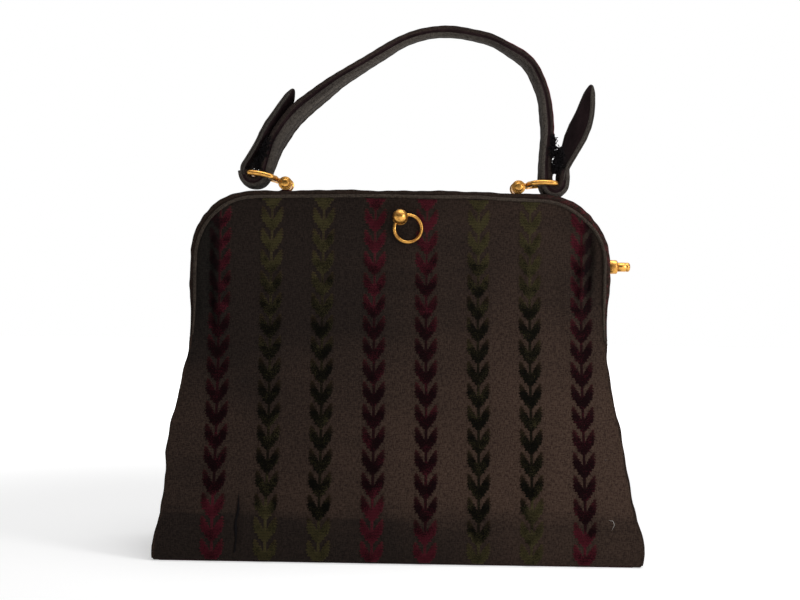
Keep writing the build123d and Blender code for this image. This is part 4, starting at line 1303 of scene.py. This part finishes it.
def strap_band(name, line, half_width, thickness, twist, velvet=0):
    """A padded band of two layers along a line, with pillowy edges, a groove between the layers and sewn
    channels. Velvet is 1 or -1 for a velvet face on its upper or lower side."""
    line = np.asarray(line)
    heading = headings(line)
    across = np.repeat([[0.0, 1.0, 0.0]], len(line), axis=0)
    normal = np.cross(heading, across)
    turned = across * np.cos(twist)[:, None] + normal * np.sin(twist)[:, None]
    raised = normal * np.cos(twist)[:, None] - across * np.sin(twist)[:, None]
    lengths = run_lengths(line)
    shape = band_section()
    edge = np.minimum(settings().strap.channel, 0.45 * half_width)
    points, flat, around = [], [], 0.0
    for k, (place, up) in enumerate(shape):
        flat_part = min(abs(place), 1.0) * (half_width - edge)
        roll_part = max(abs(place) - 1.0, 0.0) * edge
        offset = np.sign(place) * (flat_part + roll_part)
        pucker = 1 + 0.02 * np.sin(lengths * 900 + k) * (abs(place) > 0.9)
        height = 0.5 * thickness * up * pucker
        points.append(line + turned * offset[:, None] + raised * height[:, None])
        flat.append(np.column_stack([lengths, np.full(len(line), around)]))
        around += 1.1 * MM
    points = np.stack(points, axis=1)
    flat = np.stack(flat, axis=1)
    count = len(shape)
    faces = grid_faces(len(line), count, close_columns=True)
    faces.append(tuple(range(count)))
    faces.append(tuple((len(line) - 1) * count + k for k in reversed(range(count))))
    made = mesh_piece(name, points.reshape(-1, 3), faces, surface("ribbed_strap_cloth"), flat.reshape(-1, 2))
    for coat in STRAP_COATS[1:]:
        made.data.materials.append(surface(coat))
    for face in made.data.polygons:
        if len(face.vertices) == 4:
            corners = [shape[index % count] for index in face.vertices]
            place = sum(abs(part[0]) for part in corners) / 4
            up = sum(part[1] for part in corners) / 4
            rosy = face.center.x > 0.06 and face.center.z > 0.24
            face.material_index = STRAP_COATS.index(section_coat(place, up, velvet, rosy))
    return outward(made)


def section_coat(place, up, velvet, rosy):
    """Which of the strap's materials is seen at a place of its section."""
    if velvet:
        return "dark_velvet" if up * velvet > 0.1 and place < 1.2 else "ribbed_strap_cloth"
    if abs(up) < 0.3 and place > 1.6:
        return "dark_velvet"
    if up > 0:
        return "ribbed_strap_cloth"
    return "rose_velvet" if rosy and place > 1.2 and up < -0.7 else "strap_side_cloth"


class HANDBAG_OT_strap(bpy.types.Operator):
    """Make the padded strap with its two loops and leaf-shaped tails"""
    bl_idname = "handbag.strap"
    bl_label = "Strap"

    def execute(self, context):
        depth = PIVOT["right"].y
        right = stirrup_bar("right")
        left = stirrup_bar("left")
        loop = 5.2 * MM
        pieces = [
            self.main_band(right, left, loop, depth), self.right_tail(right, loop, depth),
            self.left_tail(left, loop, depth),
        ]
        band = joined("padded_strap", pieces)
        dress(band, "handle", "strap_cloth", "handle_strap")
        lift_with_handle(band)
        return {"FINISHED"}

    def main_band(self, right, left, loop, depth):
        """The strap from its right loop over the top to its left loop."""
        strap = settings().strap
        low = right.z - loop
        lower = left.z - loop - 0.6 * MM
        outer = left.x - loop + 1.4 * MM
        points = [
            (right.x + loop, right.z + 9 * MM), (right.x + loop, low), (right.x - loop, low),
            (right.x - loop - 0.6 * MM, right.z + 12 * MM), (87.8 * MM, 254 * MM), (85.4 * MM, 276 * MM),
            (76.5 * MM, 296 * MM), (53 * MM, 309.5 * MM), (25 * MM, 315.0 * MM), (2 * MM, 309.6 * MM),
            (-40 * MM, 282.5 * MM), (-66 * MM, 261.5 * MM), (-77 * MM, 244 * MM),
            (left.x + 9.4 * MM, left.z + 2.5 * MM), (left.x + 7.4 * MM, lower + 0.4 * MM),
            (outer + 0.6 * MM, lower - 0.4 * MM), (outer - 0.2 * MM, left.z + 1.5 * MM),
        ]
        radii = [5.1, 5.1, 40, 45, 45, 26, 34, 60, 60, 90, 60, 30, 22, 4.4, 4.4]
        route = rounded_route([(x, depth, z) for x, z in points], [r * MM for r in radii], 1.0 * MM)
        route = smoothed_line(route, 10)
        shares = np.linspace(0, 1, len(route))
        turn = np.interp(
            shares, [0, 0.12, 0.20, 0.30, 0.38, 0.46, 0.55, 0.65, 0.75, 0.86, 0.93, 1],
            np.radians([0, 0, 2, 0, -6, -8, -5, -1, 7, 9, 3, 0]))
        half = 0.5 * strap.width * (1 + 0.02 * np.sin(shares * 31))
        thick = strap.thickness * (1 + 0.03 * np.sin(shares * 44) + 0.02 * np.sin(shares * 97))
        thick *= 1 + 0.22 * bell(shares, 0.085, 0.05)
        thick *= 1 + 0.30 * bell(shares, 0.81, 0.07)
        return strap_band("strap_middle", route, half, thick, turn)

    def tail(self, name, points, radii, depth, turn_end, thickness, velvet):
        """A tapered tail that ends in a rounded leaf point."""
        strap = settings().strap
        route = rounded_route([(x, depth, z) for x, z in points], [r * MM for r in radii], 0.8 * MM)
        route = smoothed_line(route, 6)
        lengths = run_lengths(route)
        shares = lengths / lengths[-1]
        left = (lengths[-1] - lengths) / (26 * MM)
        half = 0.5 * strap.width * (0.05 + 0.95 * np.clip(left, 0, 1) ** 0.55)
        half = half * (1 + 0.06 * np.sin(shares * 3.1))
        thick = thickness * np.clip(0.3 + left * 3.5, 0, 1)
        turn = np.interp(shares, [0, 0.15, 0.45, 1], np.radians([0, 0.4 * turn_end, turn_end, turn_end]))
        return strap_band(name, route, half, thick, turn, velvet)

    def right_tail(self, right, loop, depth):
        """The tail that rises from the right loop."""
        points = [
            (right.x + loop, right.z + 2 * MM), (right.x + loop, right.z + 10 * MM),
            (102.5 * MM, 245 * MM), (110 * MM, 264 * MM), (113.9 * MM, 283 * MM),
        ]
        return self.tail("strap_right_tail", points, [12, 60, 60], depth, 31, 3.2 * MM, 1)

    def left_tail(self, left, loop, depth):
        """The tail that rises from the left loop."""
        outer = left.x - loop + 1.4 * MM
        points = [
            (outer - 0.1 * MM, left.z - 1 * MM), (outer - 0.2 * MM, left.z + 3.2 * MM),
            (-90.6 * MM, 234 * MM), (-83.2 * MM, 243.5 * MM), (-75.0 * MM, 259 * MM),
            (-66.6 * MM, 277.5 * MM),
        ]
        return self.tail("strap_left_tail", points, [3.5, 20, 50, 60], depth, -28, 3.0 * MM, -1)


# Wear

def loose_thread_tree():
    """Short curled threads strewn along a line."""
    tree, given, result = new_group(
        "Loose Threads", "GeometryNodeTree",
        [("Start", VECTOR, None), ("End", VECTOR, None), ("Count", WHOLE, 40), ("Spread", VECTOR, None),
         ("Length", VALUE, 4 * MM), ("Thickness", VALUE, 0.2 * MM), ("Seed", WHOLE, 1),
         ("Material", MATERIAL, None)],
        [("Geometry", GEOMETRY)])

    def scattered(low, high, seed):
        values = {0: low, 1: high, "Seed": seed}
        return node(tree, "FunctionNodeRandomValue", values, data_type="FLOAT_VECTOR")[0]

    spread, length, seed = given["Spread"], given["Length"], given["Seed"]
    ends = {"Count": given["Count"], "Start Location": given["Start"], "Offset": given["End"]}
    line = node(tree, "GeometryNodeMeshLine", ends, mode="END_POINTS")
    shift = scattered(vector_maths("MULTIPLY", spread, (-1.0, -1.0, -1.0)), spread, seed)
    strewn = node(tree, "GeometryNodeSetPosition", {"Geometry": line["Mesh"], "Offset": shift})
    bend = node(
        tree, "GeometryNodeCurveQuadraticBezier",
        {"Resolution": 7, "Start": (0.0, 0.0, 0.0), "Middle": (0.5, 0.0, 0.55), "End": (1.0, 0.2, 0.0)})
    sized = node(
        tree, "GeometryNodeTransform", {"Geometry": bend[0], "Scale": vector(tree, length, length, length)})
    ring = node(tree, "GeometryNodeCurvePrimitiveCircle", {"Resolution": 5, "Radius": given["Thickness"]})
    thread = node(
        tree, "GeometryNodeCurveToMesh", {"Curve": sized[0], "Profile Curve": ring[0], "Fill Caps": True})
    turn = scattered((-math.pi,) * 3, (math.pi,) * 3, seed + 7)
    placed = node(
        tree, "GeometryNodeInstanceOnPoints", {"Points": strewn[0], "Instance": thread[0], "Rotation": turn})
    real = node(tree, "GeometryNodeRealizeInstances", {0: placed[0]})
    coated = node(tree, "GeometryNodeSetMaterial", {"Geometry": real[0], "Material": given["Material"]})
    feed(tree, result, {"Geometry": coated[0]})
    return tree


class HANDBAG_OT_wear(bpy.types.Operator):
    """Add the frayed stitching of the loops, the snagged thread and a pale hair"""
    bl_idname = "handbag.wear"
    bl_label = "Wear"

    def execute(self, context):
        tree = loose_thread_tree()
        front = PIVOT["right"].y - settings().strap.width / 2
        knots = [
            ("right_frayed_stitching", (92.6, 229.0), (94.4, 241.5), (2.4, 2.0, 1.8), 420, 3),
            ("right_leg_fraying", (89.6, 238.0), (90.2, 250.0), (1.2, 1.4, 1.6), 170, 8),
            ("left_frayed_stitching", (-87.8, 226.5), (-80.0, 245.0), (1.6, 1.6, 1.6), 260, 5),
        ]
        for name, start, end, spread, count, seed in knots:
            tuft = grown(name, tree, {
                "Start": (start[0] * MM, front + 1 * MM, start[1] * MM),
                "End": (end[0] * MM, front + 1 * MM, end[1] * MM),
                "Spread": tuple(part * MM for part in spread), "Count": count, "Length": 2.7 * MM,
                "Thickness": 0.28 * MM, "Seed": seed, "Material": surface("black_thread")})
            dress(tuft, "handle", "strap_cloth")
            lift_with_handle(tuft)
        snag = self.laid_thread(
            "snagged_thread", [(-91.8, 5.0), (-91.0, 13.0), (-91.6, 22.0), (-90.0, 30.0), (-90.2, 38.0)],
            0.72 * MM, surface("black_thread"))
        hair = self.laid_thread(
            "pale_hair", [(121.0, 27.0), (123.4, 26.6), (124.2, 24.4), (122.8, 21.6)],
            0.13 * MM, surface("pale_thread"))
        for piece in (snag, hair):
            dress(piece, BODY, "ribbed_cloth")
        return {"FINISHED"}

    def laid_thread(self, name, route, radius, material):
        """A thread lying on the front cloth along points across and up."""
        route = np.array(route) * MM
        even = np.linspace(0, len(route) - 1, 40)
        x = np.interp(even, np.arange(len(route)), route[:, 0])
        z = np.interp(even, np.arange(len(route)), route[:, 1])
        line = smoothed_line(np.column_stack([x, -cloth_depth(x, z), z]), 6)
        line[:, 1] -= 0.5 * radius
        clumps = 1 + 0.3 * np.sin(np.linspace(0, 19, len(line))) * (radius > 0.3 * MM)
        thick = radius * clumps * np.sin(np.linspace(0.25, math.pi - 0.25, len(line)))
        return tube(name, line, thick, material, 8)


# Gilt fittings

class HANDBAG_OT_handle_fittings(bpy.types.Operator):
    """Make the posts, their cloth mounds, the domed pins and the stirrups"""
    bl_idname = "handbag.handle_fittings"
    bl_label = "Handle Fittings"

    def execute(self, context):
        for word, _ in SIDES:
            dress(self.post(word), BODY, "gilt_brass", f"{word}_handle_post")
            dress(self.mound(word), BODY, "ribbed_cloth", f"{word}_post_mound")
            dress(self.pin(word), BODY, "gilt_brass", f"{word}_stirrup_pin")
            dress(self.stirrup(word), f"{word}_stirrup", "gilt_brass", f"{word}_stirrup")
        return {"FINISHED"}

    def post(self, word):
        """A necked post with a round knuckle for the pin."""
        pivot = PIVOT[word]
        barrel = [(1.3, -3.4), (3.1, -3.4), (3.5, -3.0), (3.5, 3.0), (3.1, 3.4), (1.3, 3.4), (1.3, -3.4)]
        knuckle = lathe(f"{word}_post_knuckle", barrel, pivot, (0, 1, 0), 40)
        waist = [(0.0, 0.0), (4.2, 0.0), (4.2, 0.7), (2.0, 1.5), (1.7, 3.0), (0.0, 3.0)]
        foot = (pivot.x, pivot.y, FRAME_TOP + 0.05 * MM)
        neck = lathe(f"{word}_post_neck", waist, foot, (0, 0, 1), 32)
        return joined(f"{word}_gilt_post", [knuckle, neck])

    def mound(self, word):
        """The small hump of cloth gathered round a post's foot."""
        pivot = PIVOT[word]
        x = np.linspace(-1, 1, 41)
        y = np.linspace(-1, 1, 21)
        across, deep = np.meshgrid(x, y)
        span, width = 10.5 * MM, 4.0 * MM
        hump = np.clip(1 - np.abs(across) ** 1.6, 0, 1) ** 1.3 * np.clip(1 - np.abs(deep) ** 4, 0, 1)
        crease = 1 + 0.12 * np.sin(across * 17 + deep * 2)
        z = FRAME_TOP + 0.6 * MM + 2.1 * MM * hump * crease
        flat = (across * span, deep * width)
        places = (pivot.x + flat[0], pivot.y + flat[1], z)
        return thicken(cloth_grid(f"{word}_cloth_mound", places, flat, surface("plum_velvet")), 0.5 * MM)

    def pin(self, word):
        """A pin with a ringed, domed head at each end."""
        half = [
            (1.2, 0.0), (1.2, 7.4), (3.95, 7.4), (4.1, 7.6), (4.1, 8.0), (3.85, 8.25), (3.55, 8.15),
            (3.35, 8.3), (3.3, 8.7), (3.1, 9.0), (2.9, 8.85), (2.65, 9.0), (2.5, 9.4), (2.1, 9.72),
            (1.5, 9.88), (0.8, 9.95), (0.0, 9.97),
        ]
        whole = [(radius, -distance) for radius, distance in reversed(half)] + half[1:]
        return lathe(f"{word}_domed_pin", whole, PIVOT[word], (0, 1, 0), 48)

    def stirrup(self, word):
        """A U-shaped stirrup of round wire with a knuckle on each side of the post."""
        strap = settings().strap
        pivot = PIVOT[word]
        bar = stirrup_bar(word)
        out = (bar - pivot).normalized()
        root = 5.4 * MM
        arm = strap.width / 2 + 0.65 * MM + strap.wire / 2
        half = [(2.4 * MM, root), (5.3 * MM, root), (8.8 * MM, arm), (strap.reach, arm)]
        route = half + [(along, -side) for along, side in reversed(half)]
        points = [pivot + out * along + Vector((0, side, 0)) for along, side in route]
        line = rounded_route(points, [2.2 * MM] * (len(points) - 2), 0.5 * MM)
        along = np.array([(Vector(point) - pivot).dot(out) for point in line])
        upward = np.array(out.cross(Vector((0, -PIVOT_SIGN[word], 0))))
        upward *= np.sign(upward[2])
        bow = 1.3 * MM * np.sin(np.clip(along / strap.reach, 0, 1) * math.pi)
        line = line + bow[:, None] * upward
        groove = 1 - 0.22 * bell(along, 5.0 * MM, 0.7 * MM)
        collar = 1 + 0.10 * bell(along, 6.6 * MM, 0.5 * MM)
        wire = tube(
            f"{word}_stirrup_wire", line, strap.wire / 2 * groove * collar, surface("worn_gilt"), 20,
            up=tuple(out.cross(Vector((0, 1, 0)))))
        barrel = [(1.25, 3.6), (3.1, 3.6), (3.5, 4.0), (3.5, 6.8), (3.2, 7.2), (1.25, 7.2), (1.25, 3.6)]
        knuckles = [
            lathe(f"{word}_stirrup_knuckle_{side}", barrel, pivot, (0, side, 0), 40)
            for side in (-1, 1)]
        return joined(f"{word}_gilt_stirrup", [wire, *knuckles])


class HANDBAG_OT_stud_and_ring(bpy.types.Operator):
    """Make the ball stud and its pull ring"""
    bl_idname = "handbag.stud_and_ring"
    bl_label = "Stud and Ring"

    def execute(self, context):
        dress(self.stud(), FRONT_HALF, "gilt_brass", "pull_stud")
        dress(self.ring(), "pull_ring", "gilt_brass", "pull_ring")
        return {"FINISHED"}

    def stud(self):
        """A ball on a necked shank, with a cupped flange on the cloth."""
        low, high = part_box("pull_stud")
        ball = 4.5
        centre = low.y + ball * MM
        shank = (centre - high.y) / MM
        profile = [
            (0.0, shank), (1.2, shank), (1.2, -8.55), (4.3, -8.55), (4.6, -8.25), (4.4, -7.85), (3.4, -7.6),
            (2.6, -7.05), (2.4, -6.15), (2.4, -4.2), (2.75, -3.95),
        ]
        profile += arc_profile((0.0, 0.0), ball, math.radians(143), 0.0, 22)
        return lathe("ball_stud", profile, (STUD.x, centre, STUD.z), (0, -1, 0), 72)

    def ring(self):
        """The round pull ring, a little thicker where it was joined."""
        low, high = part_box("pull_ring")
        centre = (low + high) / 2
        wire = (high.y - low.y) / 2
        radius = (high.x - low.x) / 2 - wire
        angles = np.arange(96) * 2 * math.pi / 96
        line = np.column_stack([
            centre.x + radius * np.cos(angles), np.full(96, centre.y), centre.z + radius * np.sin(angles)])
        thick = wire * (1 + 0.05 * bell(angles, 4.4, 0.12))
        return tube("pull_ring_wire", line, thick, surface("worn_gilt"), 20, closed=True)


class HANDBAG_OT_lock(bpy.types.Operator):
    """Make the side lock's collar and push button"""
    bl_idname = "handbag.lock"
    bl_label = "Side Lock"

    def execute(self, context):
        dress(self.collar(), BODY, "gilt_brass", "button_collar")
        dress(self.button(), "push_button", "gilt_brass", "push_button")
        return {"FINISHED"}

    def collar(self):
        """A turned collar with a rim and a shallow groove."""
        low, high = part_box("button_collar")
        end = (high.x - low.x) / MM
        profile = [
            (0.9, 0.0), (2.4, 0.0), (2.4, 1.1), (3.9, 1.1), (4.2, 1.4), (4.2, end - 0.6), (3.9, end),
            (3.1, end), (2.9, end - 0.3), (2.9, 1.6), (0.9, 1.6), (0.9, 0.0),
        ]
        return lathe("lock_collar", profile, (low.x, LOCK.y, LOCK.z), (1, 0, 0), 56)

    def button(self):
        """The push button, ringed once and rounded at its end."""
        low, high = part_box("push_button")
        stem = (low.x - high.x) / MM
        profile = [
            (0.0, stem), (0.8, stem), (0.8, -10.4), (2.8, -10.4), (2.8, -2.9), (2.66, -2.7), (2.66, -2.3),
            (2.8, -2.1), (2.8, -1.5),
        ]
        profile += arc_profile((1.3, -1.5), 1.5, math.radians(90), 0.0, 8) + [(0.0, 0.0)]
        return lathe("lock_button", profile, (high.x, LOCK.y, LOCK.z), (1, 0, 0), 56)


class HANDBAG_OT_hidden_parts(bpy.types.Operator):
    """Give the frame, lock case, base and other inner parts their finishes"""
    bl_idname = "handbag.hidden_parts"
    bl_label = "Hidden Parts"

    def execute(self, context):
        steel = [
            "front_frame", "back_frame", "catch_tongue", "lock_case", "button_spring", "left_hinge_rivet",
            "right_hinge_rivet",
        ]
        coats = dict.fromkeys(steel, "bent_steel")
        coats.update(stud_washer="worn_gilt", base_board="fibre_board", base_panel="plum_velvet")
        for name, coat in coats.items():
            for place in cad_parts[name].material_slots:
                place.material = surface(coat)
        return {"FINISHED"}


class HANDBAG_OT_stage(bpy.types.Operator):
    """Set up the pale floor, the soft light and the camera"""
    bl_idname = "handbag.stage"
    bl_label = "Stage"

    def execute(self, context):
        self.camera(context)
        self.floor()
        self.lamps()
        self.world(context)
        context.scene.view_settings.view_transform = "Standard"
        return {"FINISHED"}

    def camera(self, context):
        """The level camera, turned a little about its view axis as in the photo."""
        stage = settings().stage
        lens = bpy.data.cameras.new("camera")
        lens.lens = stage.lens
        lens.clip_start = 0.05
        camera = bpy.data.objects.new("camera", lens)
        turn = Matrix.Rotation(math.radians(90), 4, "X") @ Matrix.Rotation(stage.roll, 4, "Z")
        camera.matrix_world = Matrix.Translation((0, -stage.distance, stage.height)) @ turn
        context.scene.collection.objects.link(camera)
        context.scene.camera = camera

    def floor(self):
        """A round pale floor that shows the background's white and keeps the bag's shadow."""
        made, tree, shader = new_material("pale_floor", roughness=0.9)
        away = node(tree, "ShaderNodeVectorMath", {0: object_coordinates(tree)}, operation="LENGTH")["Value"]
        feed(tree, shader, {
            "Base Color": (0.9, 0.9, 0.9, 1.0), "Emission Color": (1.0, 1.0, 1.0, 1.0),
            "Emission Strength": ramp(away, 0.25, 1.0, 0.36, 1.3)})
        steps, radius = 96, 4.0
        angles = [2 * math.pi * k / steps for k in range(steps)]
        points = [(0, 0, 0)] + [(radius * math.cos(angle), radius * math.sin(angle), 0) for angle in angles]
        faces = [(0, k + 1, (k + 1) % steps + 1) for k in range(steps)]
        mesh_piece("floor", points, faces, made, smooth=False)

    def lamp(self, name, place, aim, size, energy):
        """A soft lamp aimed at a point."""
        data = bpy.data.lights.new(name, "AREA")
        data.shape = "RECTANGLE"
        data.size, data.size_y = size
        data.energy = energy
        lamp = bpy.data.objects.new(name, data)
        lamp.location = place
        lamp.rotation_euler = (Vector(aim) - Vector(place)).to_track_quat("-Z", "Y").to_euler()
        bpy.context.scene.collection.objects.link(lamp)

    def lamps(self):
        self.lamp("top_lamp", (0.15, -0.1, 1.2), (0, 0, 0.1), (0.9, 0.9), 9.0)
        self.lamp("right_lamp", (0.48, -0.36, 0.32), (0, 0, 0.14), (0.16, 0.28), 1.6)

    def world(self, context):
        """A white background, with a weaker light on matt pieces and bands of light in glossy ones."""
        world = bpy.data.worlds.new("studio")
        world.use_nodes = True
        tree = world.node_tree
        tree.nodes.clear()
        path = node(tree, "ShaderNodeLightPath")
        way = axes(node(tree, "ShaderNodeTexCoord")["Generated"])
        rear = ramp(way[1], -0.35, 0.4, 0.03, 0.75)
        above = ramp(way[2], 0.45, 0.9)
        mirrored = path["Is Glossy Ray"] * maths("MAXIMUM", rear, above)
        strength = path["Is Camera Ray"] + (mirrored + path["Is Diffuse Ray"] * 0.12)
        white = node(tree, "ShaderNodeBackground", {"Color": (1.0, 1.0, 1.0, 1.0), "Strength": strength})
        node(tree, "ShaderNodeOutputWorld", {"Surface": white[0]})
        context.scene.world = world


STEPS = [
    HANDBAG_OT_stage, HANDBAG_OT_body_cloth, HANDBAG_OT_leaf_chains, HANDBAG_OT_lining,
    HANDBAG_OT_frame_cloth, HANDBAG_OT_strap, HANDBAG_OT_wear, HANDBAG_OT_handle_fittings,
    HANDBAG_OT_stud_and_ring, HANDBAG_OT_lock, HANDBAG_OT_hidden_parts,
]


class HANDBAG_PT_panel(bpy.types.Panel):
    """Lists the handbag's steps and main settings"""
    bl_label = "Handbag"
    bl_idname = "HANDBAG_PT_panel"
    bl_space_type = "VIEW_3D"
    bl_region_type = "UI"
    bl_category = "Handbag"

    def draw(self, context):
        for step in STEPS:
            self.layout.operator(step.bl_idname)
        for group in ("cloth", "leaves", "strap", "metal", "stage"):
            box = self.layout.box()
            values = getattr(context.scene.handbag, group)
            for name in values.__annotations__:
                box.prop(values, name)


GROUPS = [ClothSettings, LeafSettings, StrapSettings, MetalSettings, StageSettings, HandbagSettings]
CLASSES = [*GROUPS, *STEPS, HANDBAG_PT_panel]


def register():
    for item in CLASSES:
        bpy.utils.register_class(item)
    bpy.types.Scene.handbag = PointerProperty(type=HandbagSettings)


def unregister():
    del bpy.types.Scene.handbag
    for item in reversed(CLASSES):
        bpy.utils.unregister_class(item)


def main():
    """Build every piece in order."""
    register()
    for step in STEPS:
        group, name = step.bl_idname.split(".")
        getattr(getattr(bpy.ops, group), name)()


if __name__ == "__main__":
    main()
